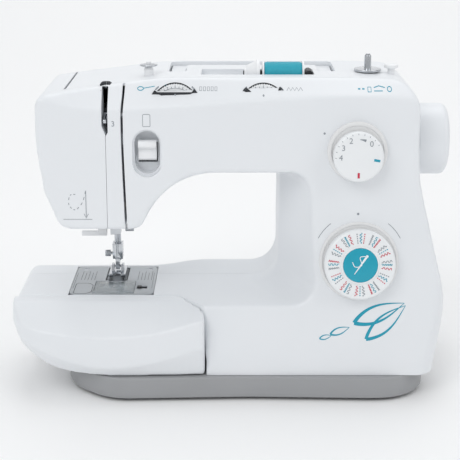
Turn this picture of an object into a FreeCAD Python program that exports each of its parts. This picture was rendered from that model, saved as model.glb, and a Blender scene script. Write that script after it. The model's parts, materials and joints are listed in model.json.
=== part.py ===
"""Free-arm household sewing machine, modelled as separate pieces that go together as the real one does.

Units are millimetres. +X runs to the handwheel, +Y to the back and +Z up. The origin is on the table top,
under the middle of the machine's box, so the front faces -Y.
"""

import math
import os

import FreeCAD
import Part

V = FreeCAD.Vector
X, Y, Z = V(1, 0, 0), V(0, 1, 0), V(0, 0, 1)
os.makedirs("parts", exist_ok=True)

# ---- driving dimensions -----------------------------------------------------------------------------------
WALL = 2.6                # thickness of the moulded covers
SEAM = 0.3                # gap between neighbouring covers
TOP_Z = 265.0             # top of the arm
BED_Z = 80.0              # sewing surface
ARM_UNDER_Z = 190.0       # underside of the arm
HEAD_UNDER_Z = 143.0      # underside of the head
FREE_ARM_UNDER_Z = 37.0   # underside of the free arm
BODY_FOOT_Z = 22.0        # lower rim of the covers, on the base tray
HEAD_LEFT_X = -158.5
COLUMN_LEFT_X = 42.5
COLUMN_RIGHT_X = 156.5    # right side of the column at the handwheel
BODY_RIGHT_X = 180.5      # right side where the body is widest
FREE_ARM_LEFT_X = -184.5
FREE_ARM_REAR_Y = 34.0
SPLIT_Y = 8.0             # front and rear covers meet here
RUN = 0.3                 # clearance between pieces that move past each other
SLIDING = 0.05            # radial clearance of a shaft in its bush

SHAFT_Y, SHAFT_Z, SHAFT_R = 0.0, TOP_Z - 58.0, 4.0        # main shaft
LOWER_Z = 51.0                                     # lower shaft, under the main shaft
NEEDLE_X, NEEDLE_Y = -101.0, 0.0
STROKE = 31.0                                      # needle bar travel
PRESSER_Y = 13.0                                   # presser bar, behind the needle bar
BAR_R = 3.0
HOOK_R = 20.0
HOOK_Y = NEEDLE_Y - 2.0 - HOOK_R                   # rotary hook, close in front of the needle
FREE_ARM_FRONT_Y = HOOK_Y - HOOK_R - 2.4 - WALL
HOOK_GEAR_R = 10.0
HOOK_PINION_R = SHAFT_Y - HOOK_Y - HOOK_GEAR_R - RUN
PLATE = (-139.0, -66.0, FREE_ARM_FRONT_Y + 2, 27.0)   # needle plate: left, right, front, back
PLATE_T = 2.4
SLOT_L = (-104.6, -99.4)                           # take-up slot in the head
SLOT_R = (-88.5, -86.3)                            # thread slot beside it
FACE_X, FACE_BACK_Y = -101.8, 50.0                 # right and rear edges of the face cover
PULLEY_X = (96.0, 106.0)                           # timing belt plane
BELT_X = (143.0, 151.0)                            # motor belt plane
TIMING_R, DRIVE_R, MOTOR_PULLEY_R = 12.0, 27.0, 7.5
MOTOR_Y, MOTOR_Z, MOTOR_R = 36.0, 64.0, 22.0
WHEEL_X = (159.2, 185.2)
WHEEL_R = 30.5
THUMB_R, THUMB_Z = 20.0, TOP_Z - 23.5                   # tension and stitch width wheels
THUMB_Y = (-42.4, -34.4)
TENSION_X, WIDTH_X = -44.7, 27.2
LENGTH_AT, LENGTH_R, LENGTH_LEAN = (104.0, -57.0, TOP_Z - 59.0), 20.5, 5.0
PATTERN_AT, PATTERN_R, PATTERN_LEAN = (107.4, -65.5, 115.8), 29.5, 9.0
REVERSE_X, REVERSE_Z = -68.0, TOP_Z - 58.5              # middle of the reverse lever's recess
REVERSE_PIVOT_Y = -30.0
SPOOL_Y, SPOOL_Z = -8.0, TOP_Z
SPOOL_X = (27.0, 62.0)
TROUGH_X, TROUGH_R = (-24.0, 70.0), 13.6           # the well that the spool lies in
HANDLE_X = (-50.5, 87.5)
HANDLE_PIVOT = (8.5, TOP_Z - 7.5)                  # y and z
WINDER_X, WINDER_Y = 116.0, -5.0
LIFTER_PIVOT = (20.0, 160.0)                       # y and z
TAKE_UP_PIVOT = (-30.0, TOP_Z - 25.0)
SWING_Z = TOP_Z - 31.0                                  # needle bar frame's pivot
CRANK_R = STROKE / 2
STUD_Z = HEAD_UNDER_Z + 43.0                       # where the connecting rod joins the needle bar
ROD_LENGTH = SHAFT_Z + CRANK_R - STUD_Z
TENSION_Z = TOP_Z - 50.0                           # tension discs
FRAME_BED_Z = FREE_ARM_UNDER_Z + WALL + 0.4        # underside of the frame's bed
TRAY_TOP = 21.7
TRAY_REAR_Y = 92.2
SWITCH_PIVOT_X = 174.0
FOOT_H = 3.0


# ---- small helpers ----------------------------------------------------------------------------------------
def block(x0, x1, y0, y1, z0, z1):
    """A box between two corners."""
    return Part.makeBox(x1 - x0, y1 - y0, z1 - z0, V(x0, y0, z0))


def rod(radius, start, end):
    """A round bar from start to end."""
    way = V(*end) - V(*start)
    return Part.makeCylinder(radius, way.Length, V(*start), way)


def ring(outer, inner, start, end):
    """A tube from start to end."""
    return rod(outer, start, end).cut(rod(inner, start, end))


def join(*shapes):
    """One solid, or group of solids, from several that touch or overlap."""
    whole = shapes[0]
    if len(shapes) > 1:
        whole = whole.multiFuse(list(shapes[1:]))
    return whole.removeSplitter()


def rounded_wire(corners, place):
    """A closed outline of straight sides whose corners are rounded: corners are (u, v, radius)."""
    count = len(corners)
    ends = []
    for i, (u, v, radius) in enumerate(corners):
        here = V(u, v, 0)
        before = V(*corners[i - 1][:2], 0)
        after = V(*corners[(i + 1) % count][:2], 0)
        back, ahead = (before - here).normalize(), (after - here).normalize()
        half = back.getAngle(ahead) / 2
        if radius <= 0 or half > math.radians(89.9):
            ends.append((here, None, here))
            continue
        reach = radius / math.tan(half)
        centre = here + (back + ahead).normalize() * (radius / math.sin(half))
        middle = centre + (here - centre).normalize() * radius
        ends.append((here + back * reach, middle, here + ahead * reach))
    edges = []
    for i, (start, middle, end) in enumerate(ends):
        if middle is not None:
            edges.append(Part.Arc(place(start), place(middle), place(end)).toShape())
        following = ends[(i + 1) % count][0]
        if (following - end).Length > 1e-6:
            edges.append(Part.LineSegment(place(end), place(following)).toShape())
    return Part.Wire(edges)


def in_xz(y):
    return lambda p: V(p.x, y, p.y)


def in_xy(z):
    return lambda p: V(p.x, p.y, z)


def in_yz(x):
    return lambda p: V(x, p.x, p.y)


def plate_xz(corners, y0, y1, inset=0.0):
    """A prism along Y from an outline in X and Z, with the outline moved inwards by inset."""
    face = Part.Face(rounded_wire(corners, in_xz(y0)))
    if inset:
        face = face.makeOffset2D(-inset)
    return face.extrude(V(0, y1 - y0, 0))


def plate_xy(corners, z0, z1, inset=0.0):
    """A prism along Z from an outline in X and Y."""
    face = Part.Face(rounded_wire(corners, in_xy(z0)))
    if inset:
        face = face.makeOffset2D(-inset)
    return face.extrude(V(0, 0, z1 - z0))


def plate_yz(corners, x0, x1, inset=0.0):
    """A prism along X from an outline in Y and Z."""
    face = Part.Face(rounded_wire(corners, in_yz(x0)))
    if inset:
        face = face.makeOffset2D(-inset)
    return face.extrude(V(x1 - x0, 0, 0))


def spline(points):
    curve = Part.BSplineCurve()
    curve.interpolate([V(*p) for p in points])
    return curve.toShape()


def loft(sections, ruled=False):
    return Part.makeLoft([Part.makePolygon([V(*p) for p in s + s[:1]]) for s in sections], True, ruled)


def save(name, shape):
    """Writes one named piece, after checking that it is made of whole solids."""
    solids = shape.Solids
    if not solids or not all(s.isValid() for s in solids):
        raise ValueError(f"{name} isn't a sound solid")
    whole = solids[0] if len(solids) == 1 else Part.makeCompound(solids)
    whole.exportStep(f"parts/{name}.step")
    print(f"{name}: {len(solids)} solid(s), {sum(s.Volume for s in solids) / 1000:.1f} cm3")


# ---- outer shape of the casing ----------------------------------------------------------------------------
FRONT_LINE = [(-84, 10), (-83.5, 30), (-80, 52), (-71, 82), (-62, 135), (-56.5, 190), (-53.5, TOP_Z - 25),
              (-53, TOP_Z + 10)]
REAR_LINE = [(90, 10), (88.5, 30), (83, 52), (71, 82), (60, 135), (57.5, 190), (56.5, TOP_Z - 25),
             (56.5, TOP_Z + 10)]
# Where the top cover's skirt meets the front, as x and depth below the top.
CREASE = [(-200, -1.0), (-164, 10.5), (-132, 20.0), (-100, 22.8), (-60, 21.4), (0, 17.0), (60, 13.5),
          (110, 12.4), (160, 16.0), (200, 21.0)]
BAND_TOP_Y = -36.0                     # the skirt's upper edge


def outline():
    """The casing from the front, as a block with no throat."""
    return [
        (HEAD_LEFT_X, TOP_Z - 12.0, 9), (HEAD_LEFT_X - 1.0, TOP_Z - 51.0, 150), (-150.0, HEAD_UNDER_Z + 7.0, 20),
        (-140.5, 120.0, 0), (-140.5, BED_Z, 0), (FREE_ARM_LEFT_X, BED_Z, 9), (FREE_ARM_LEFT_X - 1, 60.0, 20),
        (FREE_ARM_LEFT_X + 11.7, FREE_ARM_UNDER_Z, 14), (-20.0, FREE_ARM_UNDER_Z, 0),
        (-20.0, BODY_FOOT_Z - 12, 0), (168.5, BODY_FOOT_Z - 12, 0),
        (BODY_RIGHT_X + 2.5, 76.0, 45), (COLUMN_RIGHT_X, TOP_Z - 81.0, 120),
        (COLUMN_RIGHT_X - 2.0, TOP_Z - 1.0, 24),
        (104.0, TOP_Z + 1.0, 250), (-56.0, TOP_Z + 1.0, 300),
    ]


def side_block(inset):
    """The casing from the side, run out along X."""
    front = [(-220, y + inset, z) for y, z in FRONT_LINE]
    rear = [(-220, y - inset, z) for y, z in REAR_LINE]
    edges = [spline(front), spline(rear)]
    edges.append(Part.LineSegment(V(*front[-1]), V(*rear[-1])).toShape())
    edges.append(Part.LineSegment(V(*front[0]), V(*rear[0])).toShape())
    wire = Part.Wire(Part.sortEdges(edges)[0])
    return Part.Face(wire).extrude(V(440, 0, 0))


def throat(inset):
    """The space under the arm and left of the column, open to the left."""
    corners = [
        (-230, BED_Z, 0), (COLUMN_LEFT_X, BED_Z, 24), (COLUMN_LEFT_X, ARM_UNDER_Z, 10), (-49, ARM_UNDER_Z, 62),
        (-75, HEAD_UNDER_Z, 9), (-140.5, HEAD_UNDER_Z, 12), (-154.5, HEAD_UNDER_Z + 33, 0),
        (-230, HEAD_UNDER_Z + 33, 0),
    ]
    return plate_xz(corners, -120, 120, -inset)


FLARE_BACK_Y = -10.0      # the column's left side slants from here to the front
FLARE_FRONT_Y = -75.0
FLARE_X = 76.0


def flare(inset):
    """The slanted left side of the column, and the ledge and underside beside it."""
    def section(y, right, low, high):
        corners = [(0, BED_Z - inset, 0), (right, BED_Z - inset, low), (right, ARM_UNDER_Z + inset, high),
                   (0, ARM_UNDER_Z + inset, 0)]
        return rounded_wire(corners, in_xz(y))
    back = section(FLARE_BACK_Y + inset, COLUMN_LEFT_X + inset, 24 + inset, 10 + inset)
    front = section(FLARE_FRONT_Y, FLARE_X + inset, 22 + inset, 18 + inset)
    return Part.makeLoft([back, front], True, True)


def band_cutter(inset):
    """What is cut away in front of and above the top cover's slanted skirt."""
    sections = []
    for x, depth in CREASE:
        crease = V(x, -53.5, TOP_Z - depth)
        edge = V(x, BAND_TOP_Y, TOP_Z)
        along = edge - crease
        normal = V(0, along.z, -along.y).normalize()
        low = crease - along * 0.8 + normal * inset
        high = edge + along * 0.9 + normal * inset
        sections.append([tuple(low), tuple(high), (x, -150, high.z + 20), (x, -150, low.z)])
    return loft(sections)


def rear_space(inset):
    """The space behind the free arm, which is narrower than the column."""
    corners = [(-230, FREE_ARM_REAR_Y, 0), (-62, FREE_ARM_REAR_Y, 60), (-34, 52, 60),
               (COLUMN_LEFT_X + 4, 52, 10), (COLUMN_LEFT_X + 4, 120, 0), (-230, 120, 0)]
    return plate_xy(corners, -5, 120, -inset)


def table_space(inset):
    """The space in front of the free arm, which the extension table fills."""
    corners = [(-230, FREE_ARM_FRONT_Y, 0), (-45, FREE_ARM_FRONT_Y, 8), (-20.5, -72, 26), (-20.5, -130, 0),
               (-230, -130, 0)]
    return plate_xy(corners, -5, 120, -inset)


def casing(inset):
    solid = plate_xz(outline(), -130, 130, inset).common(side_block(inset))
    solid = solid.cut(throat(inset)).cut(flare(inset))
    solid = solid.cut(rear_space(inset)).cut(table_space(inset))
    return solid.cut(band_cutter(inset)).removeSplitter()


def leaning(shape, at, degrees):
    """Turns a knob that was modelled along Y at the origin to lie on the leaning front, and puts it in place."""
    shape.rotate(V(0, 0, 0), X, -degrees)
    shape.translate(V(*at))
    return shape


def belt(a, radius_a, b, radius_b, thickness, x0, x1):
    """A belt around two pulleys that turn about X, at a and b in Y and Z."""
    def hull(grow):
        ra, rb = radius_a + grow, radius_b + grow
        pa, pb = V(0, *a), V(0, *b)
        way = pb - pa
        lean = math.asin((ra - rb) / way.Length)
        base = math.atan2(way.z, way.y)
        points = []
        for side in (1, -1):
            angle = base + side * (math.pi / 2 - lean)
            out = V(0, math.cos(angle), math.sin(angle))
            points.append((pa + out * ra, pb + out * rb))
        corners = [points[0][0], points[0][1], points[1][1], points[1][0]]
        quad = Part.Face(Part.makePolygon([V(x0, p.y, p.z) for p in corners + corners[:1]]))
        quad = quad.extrude(V(x1 - x0, 0, 0))
        return join(quad, rod(ra, (x0, *a), (x1, *a)), rod(rb, (x0, *b), (x1, *b)))
    return hull(thickness).cut(hull(0))


# ---- casing -----------------------------------------------------------------------------------------------
def trimmed_casing(inset):
    """The casing with its right corners rounded in plan, open below the rim that stands on the base."""
    right = BODY_RIGHT_X + 2.5
    plan = plate_xy([(-220, -110, 0), (right, -86, 42), (right, 93, 42), (-220, 119, 0)], 0, TOP_Z + 35, inset)
    return casing(inset).common(plan)


def reverse_recess(grow, y0, y1):
    """The upright oval around the reverse lever."""
    low, high = REVERSE_Z - 19.5 - grow, REVERSE_Z + 20 + grow
    return plate_xz([(REVERSE_X - 12 - grow, high, 11.9 + grow), (REVERSE_X + 12 + grow, high, 11.9 + grow),
                     (REVERSE_X + 12 + grow, low, 11.9 + grow), (REVERSE_X - 12 - grow, low, 11.9 + grow)],
                    y0, y1)


def casing_openings():
    """Everything that is cut through the covers."""
    left, right, front, back = PLATE
    cuts = [
        block(-230, 230, -130, 130, 0, BODY_FOOT_Z),
        block(left - RUN, right + RUN, front - RUN, back + RUN, BED_Z - 6, BED_Z + 8),
        block(*SLOT_L, -130, -30, TOP_Z - 39, TOP_Z - 5.5),
        block(*SLOT_R, -130, -36, 162, TOP_Z + 15),
        block(-118, -88, -26, 50, HEAD_UNDER_Z - 4, HEAD_UNDER_Z + 6),
        block(-88.2, -78.8, -16.7, -3.3, HEAD_UNDER_Z - 4, HEAD_UNDER_Z + 6),
        block(NEEDLE_X - 5, NEEDLE_X + 5, 40, 80, HEAD_UNDER_Z - 4, 184),
        rod(14, (136, SHAFT_Y, SHAFT_Z), (176, SHAFT_Y, SHAFT_Z)),
        rod(5, (LENGTH_AT[0], -80, LENGTH_AT[2]), (LENGTH_AT[0], -40, LENGTH_AT[2])),
        rod(6, (PATTERN_AT[0], -90, PATTERN_AT[2]), (PATTERN_AT[0], -40, PATTERN_AT[2])),
        reverse_recess(0, -80, -44),
        block(WINDER_X - 3.5, WINDER_X + 9, WINDER_Y - 3.6, WINDER_Y + 3.6, TOP_Z - 8, TOP_Z + 8),
        block(144, 200, 15.5, 40.5, 39.5, 88.5),
        spool_trough(0),
    ]
    for x in (TENSION_X, WIDTH_X):
        cuts.append(rod(THUMB_R + 0.8, (x, THUMB_Y[0] - 0.8, THUMB_Z), (x, THUMB_Y[1] + 0.8, THUMB_Z)))
    cuts += handle_space(0)
    return cuts


def spool_trough(grow):
    x0, x1 = TROUGH_X
    return rod(TROUGH_R + grow, (x0 - grow, SPOOL_Y, SPOOL_Z), (x1 + grow, SPOOL_Y, SPOOL_Z))


def handle_space(grow):
    """The U-shaped pocket that the folded handle lies in."""
    x0, x1 = HANDLE_X[0] - 1.5 - grow, HANDLE_X[1] + 1.5 + grow
    low = HANDLE_PIVOT[1] - 6.5 - grow
    return [block(x0, x0 + 15 + 2 * grow, -5 - grow, 47 + grow, low, TOP_Z + 15),
            block(x1 - 15 - 2 * grow, x1, -5 - grow, 47 + grow, low, TOP_Z + 15),
            block(x0, x1, 28 - grow, 47 + grow, low, TOP_Z + 15)]


def casing_additions(outer):
    """Bosses, wells and recesses that are moulded with the covers, before they are cut apart."""
    length_boss = leaning(rod(24.5, (0, -3.5, 3), (0, 6, 3)), LENGTH_AT, LENGTH_LEAN)
    pattern_boss = leaning(rod(33.0, (0, -1.5, 1.5), (0, 6, 1.5)), PATTERN_AT, PATTERN_LEAN)
    cup = reverse_recess(2, -60, -38).common(outer)
    cup = cup.cut(reverse_recess(0, -80, -40))
    cup = cup.cut(block(REVERSE_X - 8.5, REVERSE_X + 8.5, -42, -36, REVERSE_Z - 16.5, REVERSE_Z + 16.5))
    trough = spool_trough(2).common(outer).cut(spool_trough(0))
    pocket = join(*handle_space(2)).common(outer)
    for cut in handle_space(0):
        pocket = pocket.cut(cut)
    return length_boss, pattern_boss, cup, trough, pocket


def make_covers():
    """Front, rear, top and face covers, all cut from one thin-walled casing."""
    outer = trimmed_casing(0)
    shell = outer.cut(trimmed_casing(WALL))
    length_boss, pattern_boss, cup, trough, pocket = casing_additions(outer)
    shell = shell.multiFuse([length_boss, pattern_boss, cup])
    cuts = casing_openings()
    for cut in cuts:
        shell = shell.cut(cut)
    top_zone = block(-200, 200, BAND_TOP_Y + 3, 130, TOP_Z - 9, TOP_Z + 35)
    top_gap = block(-200, 200, BAND_TOP_Y + 3 - SEAM, 130, TOP_Z - 9 - SEAM, TOP_Z + 35)
    top = join(shell.common(top_zone), trough, pocket)
    for cut in (spool_trough(0), *handle_space(0), winder_stopper(), winding_guide()):
        top = top.cut(cut)
    rest = shell.cut(top_gap)
    face = rest.common(block(-200, FACE_X, -130, FACE_BACK_Y, 100, TOP_Z + 35))
    rest = rest.cut(block(-200, FACE_X + SEAM, -130, FACE_BACK_Y + SEAM, 100, TOP_Z + 35))
    front = rest.common(block(-230, 230, -130, SPLIT_Y, 0, TOP_Z + 35))
    rear = rest.common(block(-230, 230, SPLIT_Y + SEAM, 130, 0, TOP_Z + 35))
    return {"front_cover": front, "rear_cover": rear, "top_cover": top, "face_cover": face}


def tray_plan(grow):
    return [(-141 - grow, -60, 50), (-101, -91 - grow, 45), (16, -87 - grow, 300), (120, -90 - grow, 90),
            (167 + grow, -86, 42), (167 + grow, TRAY_REAR_Y, 45), (-141 - grow, TRAY_REAR_Y, 45)]


FEET = [(-100, -58), (-100, 66), (140, -62), (140, 66)]


def base_tray():
    tray = plate_xy(tray_plan(0), FOOT_H, TRAY_TOP).cut(plate_xy(tray_plan(0), FOOT_H - 1, TRAY_TOP - 3, 3.0))
    bosses = [rod(10, (x, y, FOOT_H), (x, y, TRAY_TOP - 1)) for x, y in FEET]
    return join(tray, *bosses)


def rubber_feet():
    return Part.makeCompound([rod(8, (x, y, 0), (x, y, FOOT_H)) for x, y in FEET])


# ---- extension table --------------------------------------------------------------------------------------
TABLE = [  # x, then the front crease, lower crease and underside as y, z
    (-184.5, (-60, 72), (-62, 64), (-58, 58)), (-173.0, (-79, 64.5), (-82, 54), (-74, 44)),
    (-146.0, (-89, 61.5), (-91.5, 42), (-84, 29)), (-105.0, (-90, 57.5), (-92, 31.4), (-86, 22.6)),
    (-60.0, (-90, 62), (-92, 37.7), (-86, 22.6)), (-10.0, (-88, 77), (-90.5, 54), (-84, 22.6)),
]


def table_body(inset, rear_y):
    """The table's outer shape, or the hollow inside it."""
    stations = []
    for x, crease, lower, under in TABLE:
        x = x + inset if x == TABLE[0][0] else x
        stations.append([(x, rear_y, BED_Z - inset), (x, crease[0] + inset, crease[1] - inset * 0.7),
                         (x, lower[0] + inset * 1.1, lower[1]), (x, under[0] + inset, under[1] + inset),
                         (x, rear_y, under[1] + inset)])
    return loft(stations)


def extension_table():
    gap = 0.4
    right = plate_xy([(-230, FREE_ARM_FRONT_Y - gap, 0), (-45.5, FREE_ARM_FRONT_Y - gap, 8), (-21.2, -72, 26),
                      (-21.2, -130, 0), (-230, -130, 0)], 0, 130)
    inner = plate_xy([(-230, -40, 0), (-48, -40, 8), (-24.5, -74, 22), (-24.5, -130, 0), (-230, -130, 0)],
                     0, 130)
    body = table_body(0, -40).common(right)
    body = body.cut(table_body(WALL, -38).common(inner))
    shelf = plate_xy([(-124, -60, 0), (-40, -60, 0), (-40, 20, 12), (-124, 20, 12)],
                     TRAY_TOP + 0.6, TRAY_TOP + 4.0)
    shelf = shelf.cut(block(-200, 0, -130, FREE_ARM_FRONT_Y - 8, 0, 60))
    return join(body, shelf).cut(block(-230, 0, -130, 60, 0, TRAY_TOP + 0.6))


# ---- frame ------------------------------------------------------------------------------------------------
COLUMN_PLATES = ((58.0, 64.0), (132.0, 138.0))
HEAD_PLATE = (-78.0, -72.0)


def cast_frame():
    """The die-cast skeleton: two column plates, arm, head plate with its lugs, and the bed."""
    pieces = [block(x0, x1, -30, 34, TRAY_TOP, TOP_Z - 20) for x0, x1 in COLUMN_PLATES]
    pieces += [
        block(64, 132, 28, 34, 100, TOP_Z - 20), block(-72, 58, 28, 34, 196, TOP_Z - 20),
        block(-72, 58, -20, 34, ARM_UNDER_Z + WALL + 0.6, 197),
        block(*HEAD_PLATE, -22, 34, 190, TOP_Z - 15),
        block(*HEAD_PLATE, -34.5, -20, TAKE_UP_PIVOT[1] - 6, TAKE_UP_PIVOT[1] + 6),
        block(-97, HEAD_PLATE[0], 22.5, 30, 190, TOP_Z - 15), block(-97, -86, 22.5, 30, 146, TOP_Z - 15),
        block(-105, -95, 8, 17, 146, 152), block(-95.5, -86, 8, 30, 146, 152),
        block(-105, -96, 8, 30, 200, 206),
        block(-105, HEAD_PLATE[0], -23.5, -18.5, SWING_Z - 4, SWING_Z + 4),
        rod(2.5, (NEEDLE_X, -19, SWING_Z), (NEEDLE_X, -8.2, SWING_Z)),
        rod(2.5, (HEAD_PLATE[0] + 1, *TAKE_UP_PIVOT), (-89, *TAKE_UP_PIVOT)),
        block(-84, HEAD_PLATE[0] + 1, -36.8, -20, TENSION_Z - 3, TENSION_Z + 3),
        block(*HEAD_PLATE, -36.8, -20, TENSION_Z - 3, TENSION_Z + 3),
        block(-160, 58, HOOK_Y - 18, FREE_ARM_REAR_Y - WALL - 1.4, FRAME_BED_Z, 44),
        block(-160, 58, FREE_ARM_REAR_Y - WALL - 7.4, FREE_ARM_REAR_Y - WALL - 1.4, 44, 74),
        block(-84, -78, -9, 9, 44, 61), block(20, 26, -9, 9, 44, 61),
    ]
    left, right, front, back = PLATE
    pieces += [block(x, x + 8, y, y + 6, 44, BED_Z - PLATE_T)
               for x in (left + 1, right - 9) for y in (front + 3, back - 8)]
    frame = join(*pieces)
    holes = [
        rod(SHAFT_R + SLIDING, (-90, SHAFT_Y, SHAFT_Z), (170, SHAFT_Y, SHAFT_Z)),
        rod(SHAFT_R + SLIDING, (-90, SHAFT_Y, LOWER_Z), (170, SHAFT_Y, LOWER_Z)),
        rod(BAR_R + SLIDING, (NEEDLE_X, PRESSER_Y, 140), (NEEDLE_X, PRESSER_Y, 240)),
        rod(SHAFT_R + SLIDING, (NEEDLE_X, HOOK_Y, 38), (NEEDLE_X, HOOK_Y, 48)),
        block(NEEDLE_X - 8, NEEDLE_X + 8, -9, 9, 38, 46),
        rod(5, (COLUMN_PLATES[1][0] - 1, MOTOR_Y, MOTOR_Z), (COLUMN_PLATES[1][1] + 1, MOTOR_Y, MOTOR_Z)),
    ]
    for hole in holes:
        frame = frame.cut(hole)
    return frame


# ---- drive ------------------------------------------------------------------------------------------------
def main_shaft():
    """The shaft, with the crank disc and crank pin on its left end, stopped with the pin at the top."""
    pin_z = SHAFT_Z + CRANK_R
    return join(rod(SHAFT_R, (-82, SHAFT_Y, SHAFT_Z), (WHEEL_X[1] - 3, SHAFT_Y, SHAFT_Z)),
                rod(19, (-87, SHAFT_Y, SHAFT_Z), (-81, SHAFT_Y, SHAFT_Z)),
                rod(2.5, (-89.6, SHAFT_Y, pin_z), (-86, SHAFT_Y, pin_z)))


def on_shaft(z, bore, *discs):
    """Wheels and collars turned about the main or lower shaft: each disc is (radius, x0, x1)."""
    body = join(*[rod(r, (x0, SHAFT_Y, z), (x1, SHAFT_Y, z)) for r, x0, x1 in discs])
    return body.cut(rod(bore, (-200, SHAFT_Y, z), (200, SHAFT_Y, z)))


def handwheel():
    x0, x1 = WHEEL_X
    wheel = rod(WHEEL_R, (x0, SHAFT_Y, SHAFT_Z), (x1, SHAFT_Y, SHAFT_Z))
    wheel = wheel.makeFillet(5.5, [e for e in wheel.Edges if e.BoundBox.XMin > x1 - 0.01])
    hub = rod(11.5, (x0 - 6.0, SHAFT_Y, SHAFT_Z), (x0 + 1, SHAFT_Y, SHAFT_Z))
    hollow = ring(WHEEL_R - 3, 13, (x0 - 1, SHAFT_Y, SHAFT_Z), (x1 - 4, SHAFT_Y, SHAFT_Z))
    return join(wheel, hub).cut(hollow).cut(rod(SHAFT_R, (100, SHAFT_Y, SHAFT_Z), (x1 - 3, SHAFT_Y, SHAFT_Z)))


def motor():
    a, b = (70, MOTOR_Y, MOTOR_Z), (122, MOTOR_Y, MOTOR_Z)
    body = join(rod(MOTOR_R, a, b), rod(8, b, (127, MOTOR_Y, MOTOR_Z)),
                block(66, 130, MOTOR_Y - 12, MOTOR_Y + 12, TRAY_TOP, TRAY_TOP + 3),
                block(80, 114, MOTOR_Y - 10, MOTOR_Y + 10, TRAY_TOP, MOTOR_Z - 15))
    return body.cut(rod(3 + SLIDING, (72, MOTOR_Y, MOTOR_Z), (140, MOTOR_Y, MOTOR_Z)))


def motor_pulley():
    return join(rod(3, (74, MOTOR_Y, MOTOR_Z), (BELT_X[1] + 1, MOTOR_Y, MOTOR_Z)),
                rod(MOTOR_PULLEY_R, (BELT_X[0], MOTOR_Y, MOTOR_Z), (BELT_X[1], MOTOR_Y, MOTOR_Z)))


def lower_shaft():
    """The lower shaft, with the gear that turns the hook."""
    gear = NEEDLE_X - 7, NEEDLE_X + 7
    return join(rod(SHAFT_R, (-112, SHAFT_Y, LOWER_Z), (112, SHAFT_Y, LOWER_Z)),
                rod(HOOK_GEAR_R, (gear[0], SHAFT_Y, LOWER_Z), (gear[1], SHAFT_Y, LOWER_Z)))


def rotary_hook():
    """The bowl that turns round the bobbin case, with its pinion and stub shaft."""
    def at(r, z0, z1):
        return rod(r, (NEEDLE_X, HOOK_Y, z0), (NEEDLE_X, HOOK_Y, z1))
    bowl = at(HOOK_R, 61.5, 72).cut(at(HOOK_R - 3.5, 63, 73))
    bowl = bowl.cut(block(NEEDLE_X - 12, NEEDLE_X + 2, HOOK_Y + 14, HOOK_Y + 24, 66, 69))
    return join(bowl, at(HOOK_PINION_R, 46.5, 56), at(SHAFT_R, FRAME_BED_Z, 62))


def bobbin_case():
    def at(r, z0, z1):
        return rod(r, (NEEDLE_X, HOOK_Y, z0), (NEEDLE_X, HOOK_Y, z1))
    case = at(15.5, 63.4, 72).cut(at(11.2, 64.6, 80))
    tail = block(NEEDLE_X - 27, NEEDLE_X - 13, HOOK_Y - 3, HOOK_Y + 3, 72.6, 74.2)
    step = block(NEEDLE_X - 15, NEEDLE_X - 12.5, HOOK_Y - 3, HOOK_Y + 3, 70, 74.2)
    stop = block(NEEDLE_X - 27, NEEDLE_X - 24, HOOK_Y - 3, HOOK_Y + 3, 74, BED_Z - PLATE_T)
    return join(case, tail, step, stop)


def bobbin():
    def at(r, z0, z1):
        return rod(r, (NEEDLE_X, HOOK_Y, z0), (NEEDLE_X, HOOK_Y, z1))
    return join(at(10.2, 65, 66.2), at(10.2, 75.4, 76.6), at(6, 66, 75.6)).cut(at(3, 60, 80))


# ---- needle and presser -----------------------------------------------------------------------------------
def upright(r, z0, z1, x=NEEDLE_X, y=NEEDLE_Y):
    return rod(r, (x, y, z0), (x, y, z1))


THREADER_X = -112.0


def needle_bar_frame():
    pieces = [block(-107, -96, -8, -4.5, 144, SWING_Z + 5), block(-106, -96, -8, 6, 144, 150),
              block(-106, -96, -8, 6, 196, 202), block(-117, -106, -8, -4.5, 160, 170),
              block(-117, -108, -8, 4.5, 162, 168), rod(5, (NEEDLE_X, -16, SWING_Z), (NEEDLE_X, -5, SWING_Z))]
    frame = join(*pieces)
    for hole in (upright(BAR_R + SLIDING, 140, 230), upright(2 + SLIDING, 150, 180, THREADER_X),
                 rod(2.5 + SLIDING, (NEEDLE_X, -20, SWING_Z), (NEEDLE_X, -8, SWING_Z))):
        frame = frame.cut(hole)
    return frame


def needle_bar():
    bracket = block(NEEDLE_X - 4, NEEDLE_X + 4.5, -3.5, 3.5, STUD_Z - 4, STUD_Z + 4)
    stud = rod(2.5, (NEEDLE_X + 4, NEEDLE_Y, STUD_Z), (-89.9, NEEDLE_Y, STUD_Z))
    return join(upright(BAR_R, 124, SWING_Z + 3), bracket, stud)


def connecting_rod():
    top = STUD_Z + ROD_LENGTH
    def eye(r, z):
        return rod(r, (-94, NEEDLE_Y, z), (-90.2, NEEDLE_Y, z))
    body = join(eye(5, STUD_Z), eye(5, top), block(-94, -90.2, -2.5, 2.5, STUD_Z, top))
    return body.cut(eye(2.5 + SLIDING, STUD_Z)).cut(eye(2.5 + SLIDING, top))


def needle_clamp():
    body = join(block(NEEDLE_X - 4.5, NEEDLE_X + 4.5, -4.5, 4.5, 121, 130), upright(4.4, 130, 132.5))
    return body.cut(upright(BAR_R, 124, 140)).cut(upright(1.0, 118, 125))


def needle_clamp_screw():
    return join(rod(1.5, (NEEDLE_X + 4.5, 0, 126.5), (NEEDLE_X + 9, 0, 126.5)),
                rod(3.6, (NEEDLE_X + 8.5, 0, 126.5), (NEEDLE_X + 16, 0, 126.5)))


def needle():
    blade = Part.makeCone(0.45, 0.1, 3.0, V(NEEDLE_X, NEEDLE_Y, 99), V(0, 0, -1))
    return join(upright(1.0, 112, 124), upright(0.45, 99, 112.5), blade)


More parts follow.
